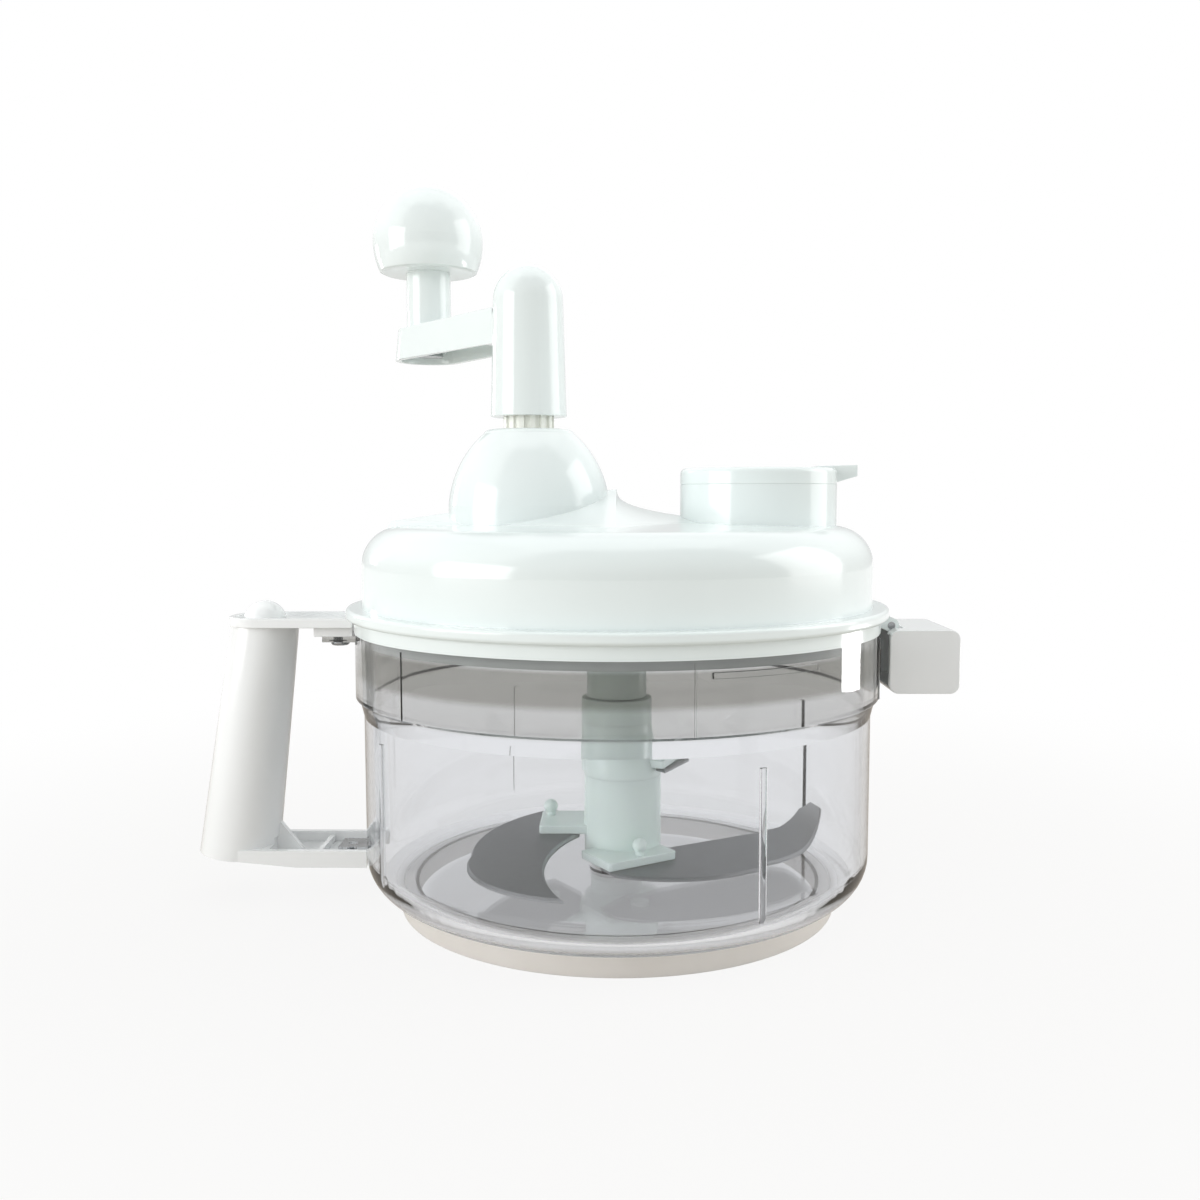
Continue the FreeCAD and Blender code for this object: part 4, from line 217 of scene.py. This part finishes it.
def clearStyrene(look):
    # Clear styrene-acrylonitrile: a polished, faintly grey bowl whose long ways through the wall
    # show as dark outlines, with a smoky rim band that is paler along its lower edge. Its top is
    # paler too, as painted light on the lid's plug ring that lies in shade behind it.
    span = look["spanMm"] * mm
    material = newMaterial("clearStyrene")
    place = addNode(material, "ShaderNodeTexCoord").outputs["Object"]
    parts = addNode(material, "ShaderNodeSeparateXYZ", links={"Vector": place}).outputs
    height = parts["Z"]
    flat = addNode(material, "ShaderNodeCombineXYZ", links={"X": parts["X"], "Y": parts["Y"]})
    reach = addNode(
        material, "ShaderNodeVectorMath", {"operation": "LENGTH"}, {0: flat.outputs["Vector"]}
    )
    foot = addNode(
        material, "ShaderNodeMapRange",
        {
            "From Min": look["frostMm"][0] * mm, "From Max": look["frostMm"][1] * mm,
            "To Min": 1.0, "To Max": 0.0,
        },
        {"Value": height},
    )
    beyond = addNode(
        material, "ShaderNodeMapRange",
        {"From Min": look["frostReach"][0] * mm, "From Max": look["frostReach"][1] * mm},
        {"Value": reach.outputs["Value"]},
    )
    strip = addNode(
        material, "ShaderNodeMath", {"operation": "MULTIPLY"},
        {0: foot.outputs["Result"], 1: beyond.outputs["Result"]},
    )
    gloss = addNode(
        material, "ShaderNodeMath",
        {"operation": "MULTIPLY_ADD", 1: look["frost"], 2: look["roughness"]},
        {0: strip.outputs["Value"]},
    )
    share = addNode(material, "ShaderNodeMapRange", {"From Max": span}, {"Value": height})
    ramp = addNode(material, "ShaderNodeValToRGB", links={0: share.outputs["Result"]})
    stops = ramp.color_ramp.elements
    stops.remove(stops[1])
    for number, (low, tone) in enumerate(look["bandMm"]):
        stop = stops.new(low * mm / span) if number else stops[0]
        stop.color = hexColour(look[tone])
    colour = ramp.outputs["Color"]
    plastic = addNode(
        material, "ShaderNodeBsdfPrincipled",
        {"Transmission Weight": 1.0, "IOR": look["ior"]},
        {"Base Color": colour, "Roughness": gloss.outputs["Value"]},
    )
    # a shadow ray meets both faces of a wall, so each takes the root of the wall's colour
    tint = addNode(material, "ShaderNodeGamma", {"Gamma": 1 / look["faces"]}, {"Color": colour})
    seeThrough = addNode(
        material, "ShaderNodeBsdfTransparent", links={"Color": tint.outputs["Color"]}
    )
    path = addNode(material, "ShaderNodeLightPath")
    mix = addNode(material, "ShaderNodeMixShader", links={
        0: path.outputs["Is Shadow Ray"],
        1: plastic.outputs["BSDF"],
        2: seeThrough.outputs["BSDF"],
    })
    depth = addNode(
        material, "ShaderNodeVolumeAbsorption",
        {"Color": hexColour(look["depthColour"]), "Density": look["density"]},
    )
    addNode(material, "ShaderNodeOutputMaterial", links={
        "Surface": mix.outputs["Shader"],
        "Volume": depth.outputs["Volume"],
    })
    return material


clearPlastic = clearStyrene(bowlPlastic)


metalGrain = {
    "detail": 4.0,
    "bestGloss": 0.8,    # share of the roughness on the lines of the grain
    "worstGloss": 1.25,  # and between them
}


def metal(name, look):
    # sheet or wire metal with a fine directional grain
    material = newMaterial(name)
    place = addNode(material, "ShaderNodeTexCoord").outputs["Object"]
    stretch = addNode(
        material, "ShaderNodeMapping",
        {"Scale": look["grain"], "Rotation": (0, 0, math.radians(look["turn"]))},
        {"Vector": place},
    )
    lines = addNode(
        material, "ShaderNodeTexNoise",
        {"Scale": 1 / (look["grainMm"] * mm), "Detail": metalGrain["detail"]},
        {"Vector": stretch.outputs["Vector"]},
    )
    colour = addNode(
        material, "ShaderNodeMix",
        {"data_type": "RGBA", "A": hexColour(look["colour"]), "B": hexColour(look["shade"])},
        {"Factor": lines.outputs["Fac"]},
    )
    gloss = addNode(
        material, "ShaderNodeMapRange",
        {
            "To Min": look["roughness"] * metalGrain["bestGloss"],
            "To Max": look["roughness"] * metalGrain["worstGloss"],
        },
        {"Value": lines.outputs["Fac"]},
    )
    shader = addNode(
        material, "ShaderNodeBsdfPrincipled",
        {"Metallic": 1.0, "Specular Tint": hexColour(look["edge"])},
        {"Base Color": colour.outputs[colourOutput], "Roughness": gloss.outputs["Result"]},
    )
    return finishMaterial(material, shader.outputs["BSDF"])


# stainless strip steel with a fine ground grain: dull grey with a soft sheen
bladeSteel = metal("groundBladeSteel", {
    "colour": "#A9AAAB", "shade": "#9B9C9D", "edge": "#B2B3B4", "grain": (1, 12, 1), "turn": 20,
    "grainMm": 3, "roughness": 0.34,
})
# ground steel rod: brighter, with a finer grain
pinSteel = metal("groundPinSteel", {
    "colour": "#B9BBBD", "shade": "#ABADAF", "edge": "#FFFFFF", "grain": (12, 1, 1), "turn": 0,
    "grainMm": 2, "roughness": 0.25,
})
# zinc-plated screws: bright and slightly blue, without a direction
zincPlate = metal("zincPlate", {
    "colour": "#C6C9CC", "shade": "#B4B8BC", "edge": "#FFFFFF", "grain": (1, 1, 1), "turn": 0,
    "grainMm": 2, "roughness": 0.22,
})

slotMaterials = {
    "clear_bowl": clearPlastic,
    "soft_ring": milkyElastomer,
    "white_shell": coolWhiteAbs,
    "mint_plastic": mintPolypropylene,
    "natural_nylon": creamNylon,
    "gear_acetal": gearAcetal,
    "bush_acetal": darkAcetal,
    "washer_white": gearAcetal,
    "seal_grey": greySilicone,
    "blade_steel": bladeSteel,
    "pin_steel": pinSteel,
    "screw_zinc": zincPlate,
}
neutralPieces = ("handle_grip", "handle_top_arm", "handle_cap", "side_latch")
for part in frame["record"]["subparts"]:
    neutral = part["node"] in neutralPieces
    for materialSlot in nodes[part["node"]].material_slots:
        materialSlot.material = whiteAbs if neutral else slotMaterials[part["material_slot"]]
print("materials are set")


cornerGap = 0.001 * mm  # corners that are closer than this are one
flatAngle = 0.5         # degrees within which neighbouring faces are one


def mergedMesh(name):
    # the CAD piece's mesh with its split corners joined and its flat faces in one
    bm = bmesh.new()
    bm.from_mesh(nodes[name].data)
    bmesh.ops.remove_doubles(bm, verts=bm.verts, dist=cornerGap)
    bmesh.ops.dissolve_limit(
        bm, angle_limit=math.radians(flatAngle), verts=bm.verts, edges=bm.edges
    )
    return bm


def finishPiece(bm, name, sharpAngle):
    # the object of a finished mesh: smooth but for its sharp edges
    mesh = bpy.data.meshes.new(name)
    bmesh.ops.recalc_face_normals(bm, faces=bm.faces)
    bm.to_mesh(mesh)
    bm.free()
    mesh.shade_smooth()
    mesh.set_sharp_from_angle(angle=math.radians(sharpAngle))
    piece = bpy.data.objects.new(name, mesh)
    scene.collection.objects.link(piece)
    even = piece.modifiers.new("evenNormals", "WEIGHTED_NORMAL")
    even.keep_sharp = True
    return piece


def dress(piece, name):
    # the piece takes the CAD node's place, body, slot and material
    bodies = frame["record"]["behaviour"]["bodies"]
    body = next(body for body, parts in bodies.items() if name in parts)
    piece.data.materials.append(nodes[name].material_slots[0].material)
    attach(piece, body)
    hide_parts(name)


softEdges = {
    "width": {              # mm by which the moulding's edges are rounded
        "blade_column": 0.35,
        "side_latch": 0.4,
        "handle_top_arm": 0.25,
        "feed_cap": 0.25,
        "crank_arm": 0.25,
    },
    "sharp": 40,            # degrees from which an edge is rounded
    "segments": 3,
}


def addSoftened(name, width):
    bm = mergedMesh(name)
    sharp = math.radians(softEdges["sharp"])
    edges = [e for e in bm.edges if e.is_manifold and e.calc_face_angle() > sharp]
    bmesh.ops.bevel(
        bm, geom=edges, offset=width * mm, segments=softEdges["segments"], profile=0.5,
        affect="EDGES", material=-1, clamp_overlap=False,
    )
    dress(finishPiece(bm, "soft_" + name, softEdges["sharp"]), name)


for name, width in softEdges["width"].items():
    addSoftened(name, width)
print("moulded edges are rounded")


groundEdge = {
    "blades": ("side_blade", "swept_blade", "upper_blade"),
    "width": 0.6,       # mm that the grinding takes off a blade's 1.2 mm at its upper edge
    "upright": 0.1,     # most that the blade's rim may lean, as the height of its normal
    "upwards": 0.3,     # least that its upper face looks up, also on the bent tip
    "sharp": 20,        # degrees from which an edge stays sharp
}


def addGroundBlade(name):
    bm = mergedMesh(name)
    bm.normal_update()
    edges = []
    for edge in bm.edges:
        lean = sorted(face.normal.z for face in edge.link_faces)
        onRim = len(lean) == 2 and abs(lean[0]) < groundEdge["upright"]
        if onRim and lean[1] > groundEdge["upwards"]:
            edges.append(edge)
    bmesh.ops.bevel(
        bm, geom=edges, offset=groundEdge["width"] * mm, segments=1, profile=0.5,
        affect="EDGES", material=-1, clamp_overlap=False,
    )
    dress(finishPiece(bm, "ground_" + name, groundEdge["sharp"]), name)


for name in groundEdge["blades"]:
    addGroundBlade(name)
print("blades have their ground edges")


flangeSkin = {
    "proud": 0.03,      # mm that the skin stands over the CAD lid's faceted flange
    "skirt": 83.4,      # radius of the skirt
    "rim": 85.8,        # radius of the flange
    "low": 93.0,        # underside of the flange
    "high": 96.4,       # its top
    "round": 1.1,       # of its outer edges
    "hollow": 0.5,      # radius in the corner between skirt and flange
    "foot": 89.4,       # lower end of the skin on the skirt
    "footTuck": (0.6, 0.4),  # how far inwards and down its end goes into the lid's wall
    "inside": ((81.2, 95.6), (82.6, 93.4), (82.2, 90.0)),  # radii and heights in that wall
    "roundSteps": 8,    # faces of a round
    "hollowSteps": 4,   # and of that corner
    "steps": 288,       # around
    "sharp": 50,        # degrees from which an edge stays sharp
}


def addFlangeSkin():
    # The lid's flange and skirt again, with rounds that are smooth in the gloss. Its inner side
    # lies in the lid's wall.
    look = flangeSkin
    skirt, rim = look["skirt"] + look["proud"], look["rim"] + look["proud"]
    low, high = look["low"] - look["proud"], look["high"] + look["proud"]
    size, hollow, foot = look["round"], look["hollow"], look["foot"]
    inwards, down = look["footTuck"]
    inside = look["inside"]
    profile = [(skirt - inwards, foot - down), (skirt, foot), (skirt, low - hollow)]
    for step in range(1, look["hollowSteps"] + 1):
        turn = math.radians(90 * step / look["hollowSteps"])
        profile.append((
            skirt + hollow * (1 - math.cos(turn)), low - hollow + hollow * math.sin(turn)
        ))
    for centre, start in ((low + size, -90), (high - size, 0)):
        for step in range(look["roundSteps"] + 1):
            turn = math.radians(start + 90 * step / look["roundSteps"])
            profile.append((
                rim - size + size * math.cos(turn), centre + size * math.sin(turn)
            ))
    profile += [(inside[0][0], high), *inside]
    bm = bmesh.new()
    ring = [bm.verts.new((r * mm, 0, z * mm)) for r, z in profile]
    edges = [bm.edges.new((a, b)) for a, b in zip(ring, ring[1:] + ring[:1])]
    bmesh.ops.spin(
        bm, geom=ring + edges, cent=(0, 0, 0), axis=(0, 0, 1), angle=math.tau,
        steps=look["steps"], use_merge=True,
    )
    bmesh.ops.remove_doubles(bm, verts=bm.verts, dist=cornerGap)
    piece = finishPiece(bm, "lidFlangeSkin", look["sharp"])
    piece.data.materials.append(nodes["lid"].material_slots[0].material)
    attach(piece, "lid_unit")


addFlangeSkin()
print("the flange is smooth")


columnTaper = {
    "low": 41.2,        # mm, just under the top of the eccentric sleeve
    "high": 58.0,       # where the taper ends on the column
    "sleeve": 12.44,    # radius at its lower end
    "column": 11.43,    # and at its upper end
    "shift": 3.6,       # how far the sleeve's centre lies off the axis
    "turn": -57,        # azimuth of that shift
    "tuck": 0.4,        # by which its last rings go into the column
    "rings": 24,
    "sides": 96,
    "sharp": 50,        # degrees from which an edge stays sharp
}


def addColumnTaper():
    # The sleeve runs out into the round column in one smooth taper. Both ends lie in the column.
    look = columnTaper
    turn = math.radians(look["turn"])
    bm = bmesh.new()
    last = []
    for step in range(-1, look["rings"] + 2):
        share = min(max(step / look["rings"], 0), 1)
        ease = share * share * (3 - 2 * share)
        end = step in (-1, look["rings"] + 1)
        radius = look["sleeve"] + (look["column"] - look["sleeve"]) * ease - look["tuck"] * end
        shift = look["shift"] * (1 - ease)
        height = look["low"] + (look["high"] - look["low"]) * step / look["rings"]
        place = Vector((shift * math.cos(turn), shift * math.sin(turn), height)) * mm
        ring = bmesh.ops.create_circle(
            bm, cap_ends=end, segments=look["sides"], radius=radius * mm,
            matrix=Matrix.Translation(place),
        )["verts"]
        edges = list({e for v in ring for e in v.link_edges if e.other_vert(v) in ring})
        if last:
            bmesh.ops.bridge_loops(bm, edges=last + edges)
        last = edges
    piece = finishPiece(bm, "columnTaper", look["sharp"])
    piece.data.materials.append(nodes["blade_column"].material_slots[0].material)
    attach(piece, "blade_unit")


addColumnTaper()
print("the column tapers")


camera = {
    "place": (1.53, -383.2, 131.5),  # mm
    "turn": 1.03,    # degrees to the left of +Y
    "tilt": 5.12,    # degrees below the horizon
    "roll": -0.1,    # degrees
    "lens": 35.66,   # mm
    "sensor": 36.0,  # mm
    "nearest": 10,   # mm from which it sees
}


def addCamera():
    data = bpy.data.cameras.new("photoCamera")
    data.lens = camera["lens"]
    data.sensor_width = camera["sensor"]
    data.clip_start = camera["nearest"] * mm
    eye = bpy.data.objects.new("photoCamera", data)
    scene.collection.objects.link(eye)
    eye.matrix_world = (
        Matrix.Translation(Vector(camera["place"]) * mm)
        @ Matrix.Rotation(math.radians(camera["turn"]), 4, "Z")
        @ Matrix.Rotation(math.radians(90 - camera["tilt"]), 4, "X")
        @ Matrix.Rotation(math.radians(camera["roll"]), 4, "Z")
    )
    scene.camera = eye


def addSoftbox(name, look):
    # An area lamp at a place, aimed at the middle of the object. A window is seen in the gloss
    # alone.
    data = bpy.data.lights.new(name, "AREA")
    data.shape = "RECTANGLE"
    data.size, data.size_y = look["size"]
    data.energy = look["power"]
    data.color = hexColour(look["colour"])[:3]
    lamp = bpy.data.objects.new(name, data)
    scene.collection.objects.link(lamp)
    lamp.location = look["place"]
    lamp.rotation_euler = (Vector(look["aim"]) - lamp.location).to_track_quat("-Z", "Y").to_euler()
    lamp.visible_camera = False
    lamp.visible_transmission = False
    lamp.visible_diffuse = not look.get("window")


studio = {
    "softboxes": {         # metres and watts
        "leftSoftbox": {
            "place": (-1.05, -0.55, 0.34), "aim": (0, 0, 0.1), "size": (0.8, 0.6), "power": 6.4,
            "colour": "#FFFFFF",
        },
        "rightSoftbox": {
            "place": (1.0, 0.05, 0.45), "aim": (0, 0, 0.1), "size": (0.7, 0.9), "power": 4.7,
            "colour": "#FFFFFF",
        },
        "topSoftbox": {
            "place": (0.0, 0.1, 1.0), "aim": (0, 0, 0.1), "size": (0.9, 0.7), "power": 0.8,
            "colour": "#F9FFFD",
        },
        "rightWindow": {
            "place": (0.47, 0.157, 0.021), "aim": (0.05, 0, 0.021), "size": (0.14, 0.04),
            "power": 0.16, "colour": "#FFFFFF", "window": True,
        },
        "leftWindow": {
            "place": (-0.42, 0.30, 0.20), "aim": (-0.05, 0, 0.09), "size": (0.05, 0.14),
            "power": 0.25, "colour": "#FFFFFF", "window": True,
        },
    },
    "fill": 0.72,          # strength of the pale room for matt surfaces
    "fillColour": "#F6F8F8",
    "shine": 1.4,          # strength of that room in the gloss
    "frontLight": 0.1,     # how much more of it comes from behind the camera
    "frontDark": 0.88,     # how much darker the gloss sees the room there
    "frontTurn": 17,       # degrees that this side is centred to the camera's right
    "frontHalf": 67,       # half its width
    "frontSoft": 9,        # degrees over which it ends
    "frontTop": 79,        # degrees up to which it reaches, and those over which it ends there
    "frontTopSoft": 11,
    "horizon": 0.45,       # share of the gloss's room that is left at the horizon
    "horizonTop": 32,      # degrees up to which it is dimmed
}


def addStudio():
    for name, look in studio["softboxes"].items():
        addSoftbox(name, look)

    # The room is pale. What lies behind the camera lights the front but shows dark in the gloss,
    # and so does the horizon. The camera, also through the bowl, sees plain white instead.
    world = bpy.data.worlds.new("paleStudio")
    scene.world = world
    world.use_nodes = True
    world.node_tree.nodes.clear()
    ways = addNode(world, "ShaderNodeTexCoord").outputs["Generated"]
    parts = addNode(world, "ShaderNodeSeparateXYZ", links={"Vector": ways}).outputs
    flat = addNode(world, "ShaderNodeCombineXYZ", links={"X": parts["X"], "Y": parts["Y"]})
    level = addNode(
        world, "ShaderNodeVectorMath", {"operation": "NORMALIZE"}, {0: flat.outputs["Vector"]}
    )
    turn = math.radians(studio["frontTurn"])
    towards = addNode(
        world, "ShaderNodeVectorMath",
        {"operation": "DOT_PRODUCT", 1: (math.sin(turn), -math.cos(turn), 0)},
        {0: level.outputs["Vector"]},
    )
    half, soft = studio["frontHalf"], studio["frontSoft"]
    side = addNode(
        world, "ShaderNodeMapRange",
        {
            "interpolation_type": "SMOOTHSTEP",
            "From Min": math.cos(math.radians(half + soft)),
            "From Max": math.cos(math.radians(half - soft)),
        },
        {"Value": towards.outputs["Value"]},
    )
    top, soft = studio["frontTop"], studio["frontTopSoft"]
    low = addNode(
        world, "ShaderNodeMapRange",
        {
            "interpolation_type": "SMOOTHSTEP",
            "From Min": math.sin(math.radians(top + soft)),
            "From Max": math.sin(math.radians(top - soft)),
        },
        {"Value": parts["Z"]},
    )
    front = addNode(
        world, "ShaderNodeMath", {"operation": "MULTIPLY"},
        {0: side.outputs["Result"], 1: low.outputs["Result"]},
    ).outputs["Value"]
    fill = addNode(
        world, "ShaderNodeMath",
        {
            "operation": "MULTIPLY_ADD",
            1: studio["fill"] * studio["frontLight"], 2: studio["fill"],
        },
        {0: front},
    )
    matt = addNode(
        world, "ShaderNodeBackground", {"Color": hexColour(studio["fillColour"])},
        {"Strength": fill.outputs["Value"]},
    )
    room = addNode(
        world, "ShaderNodeMath",
        {
            "operation": "MULTIPLY_ADD",
            1: -studio["shine"] * studio["frontDark"], 2: studio["shine"],
        },
        {0: front},
    )
    horizon = addNode(
        world, "ShaderNodeMapRange",
        {
            "interpolation_type": "SMOOTHSTEP",
            "From Max": math.sin(math.radians(studio["horizonTop"])),
            "To Min": studio["horizon"],
        },
        {"Value": parts["Z"]},
    )
    dimmed = addNode(
        world, "ShaderNodeMath", {"operation": "MULTIPLY"},
        {0: room.outputs["Value"], 1: horizon.outputs["Result"]},
    )
    shiny = addNode(
        world, "ShaderNodeBackground", {"Color": white},
        {"Strength": dimmed.outputs["Value"]},
    )
    backdrop = addNode(world, "ShaderNodeBackground", {"Color": white, "Strength": 1.0})
    path = addNode(world, "ShaderNodeLightPath")
    mirrored = addNode(world, "ShaderNodeMixShader", links={
        0: path.outputs["Is Glossy Ray"],
        1: matt.outputs["Background"],
        2: shiny.outputs["Background"],
    })
    seen = addNode(world, "ShaderNodeMath", {"operation": "MAXIMUM"}, {
        0: path.outputs["Is Camera Ray"],
        1: path.outputs["Is Transmission Ray"],
    })
    mix = addNode(world, "ShaderNodeMixShader", links={
        0: seen.outputs["Value"],
        1: mirrored.outputs["Shader"],
        2: backdrop.outputs["Background"],
    })
    addNode(world, "ShaderNodeOutputWorld", links={"Surface": mix.outputs["Shader"]})


floorLook = {
    "size": 3.0,             # metres from the middle to each side
    "paint": "#CFCAC3",
    "mirrored": "#B8B0A6",   # the floor as the gloss shows it near by
    "mirroredFrom": 0.25,    # metres from the bowl's axis where that tone begins to fade
    "mirroredTo": 0.8,       # and where the gloss sees white
    "shadow": 0.12,          # share of the paint, with its shadows, that the camera sees near by
    "shadowFrom": 0.12,      # metres from the bowl's axis where that share begins to fade
    "shadowTo": 0.45,        # and where the floor has become plain white
    "under": 0.56,           # painted shadow: how bright the floor's glow is kept inside the base ring, under the bowl
    "underFrom": 0.060,      # metres from the bowl's axis where that shade begins to fade
    "underTo": 0.068,
}


def addFloor():
    # The floor takes the object's shadow in its paint, and fades to plain white further out.
    # Inside the base ring its glow is dimmed by a painted shadow of the bowl.
    bm = bmesh.new()
    bmesh.ops.create_grid(bm, x_segments=1, y_segments=1, size=floorLook["size"])
    mesh = bpy.data.meshes.new("studioFloor")
    bm.to_mesh(mesh)
    bm.free()
    floor = bpy.data.objects.new("studioFloor", mesh)
    scene.collection.objects.link(floor)
    material = newMaterial("paleFloor")
    paint = addNode(material, "ShaderNodeBsdfDiffuse", {"Color": hexColour(floorLook["paint"])})
    place = addNode(material, "ShaderNodeTexCoord").outputs["Object"]
    distance = addNode(
        material, "ShaderNodeVectorMath", {"operation": "LENGTH"}, {0: place}
    ).outputs["Value"]
    outwards = addNode(
        material, "ShaderNodeMapRange",
        {
            "interpolation_type": "SMOOTHSTEP",
            "From Min": floorLook["shadowFrom"], "From Max": floorLook["shadowTo"],
            "To Min": 1 - floorLook["shadow"], "To Max": 1.0,
        },
        {"Value": distance},
    )
    # painted shadow: the floor's glow is dimmed inside the base ring, where the bowl shades it
    under = addNode(
        material, "ShaderNodeMapRange",
        {
            "interpolation_type": "SMOOTHSTEP",
            "From Min": floorLook["underFrom"], "From Max": floorLook["underTo"],
            "To Min": floorLook["under"], "To Max": 1.0,
        },
        {"Value": distance},
    )
    path = addNode(material, "ShaderNodeLightPath")
    # what comes through the bowl counts as glossy too, so it is taken off
    mirrored = addNode(
        material, "ShaderNodeMath", {"operation": "SUBTRACT", "use_clamp": True},
        {0: path.outputs["Is Glossy Ray"], 1: path.outputs["Is Transmission Ray"]},
    )
    near = addNode(
        material, "ShaderNodeMapRange",
        {
            "interpolation_type": "SMOOTHSTEP",
            "From Min": floorLook["mirroredFrom"], "From Max": floorLook["mirroredTo"],
            "To Min": 1.0, "To Max": 0.0,
        },
        {"Value": distance},
    )
    warm = addNode(
        material, "ShaderNodeMath", {"operation": "MULTIPLY"},
        {0: mirrored.outputs["Value"], 1: near.outputs["Result"]},
    )
    tone = addNode(
        material, "ShaderNodeMix",
        {"data_type": "RGBA", "A": white, "B": hexColour(floorLook["mirrored"])},
        {"Factor": warm.outputs["Value"]},
    )
    glow = addNode(
        material, "ShaderNodeEmission",
        links={"Color": tone.outputs[colourOutput], "Strength": under.outputs["Result"]},
    )
    seen = addNode(material, "ShaderNodeMath", {"operation": "MAXIMUM"}, {
        0: path.outputs["Is Camera Ray"],
        1: path.outputs["Is Transmission Ray"],
    })
    shown = addNode(material, "ShaderNodeMath", {"operation": "MAXIMUM"}, {
        0: seen.outputs["Value"],
        1: path.outputs["Is Glossy Ray"],
    })
    share = addNode(material, "ShaderNodeMath", {"operation": "MULTIPLY"}, {
        0: shown.outputs["Value"],
        1: outwards.outputs["Result"],
    })
    mix = addNode(material, "ShaderNodeMixShader", links={
        0: share.outputs["Value"],
        1: paint.outputs["BSDF"],
        2: glow.outputs["Emission"],
    })
    finishMaterial(material, mix.outputs["Shader"])
    mesh.materials.append(material)


addCamera()
addStudio()
addFloor()
print("camera, studio and floor stand")
scene.view_settings.view_transform = "Standard"
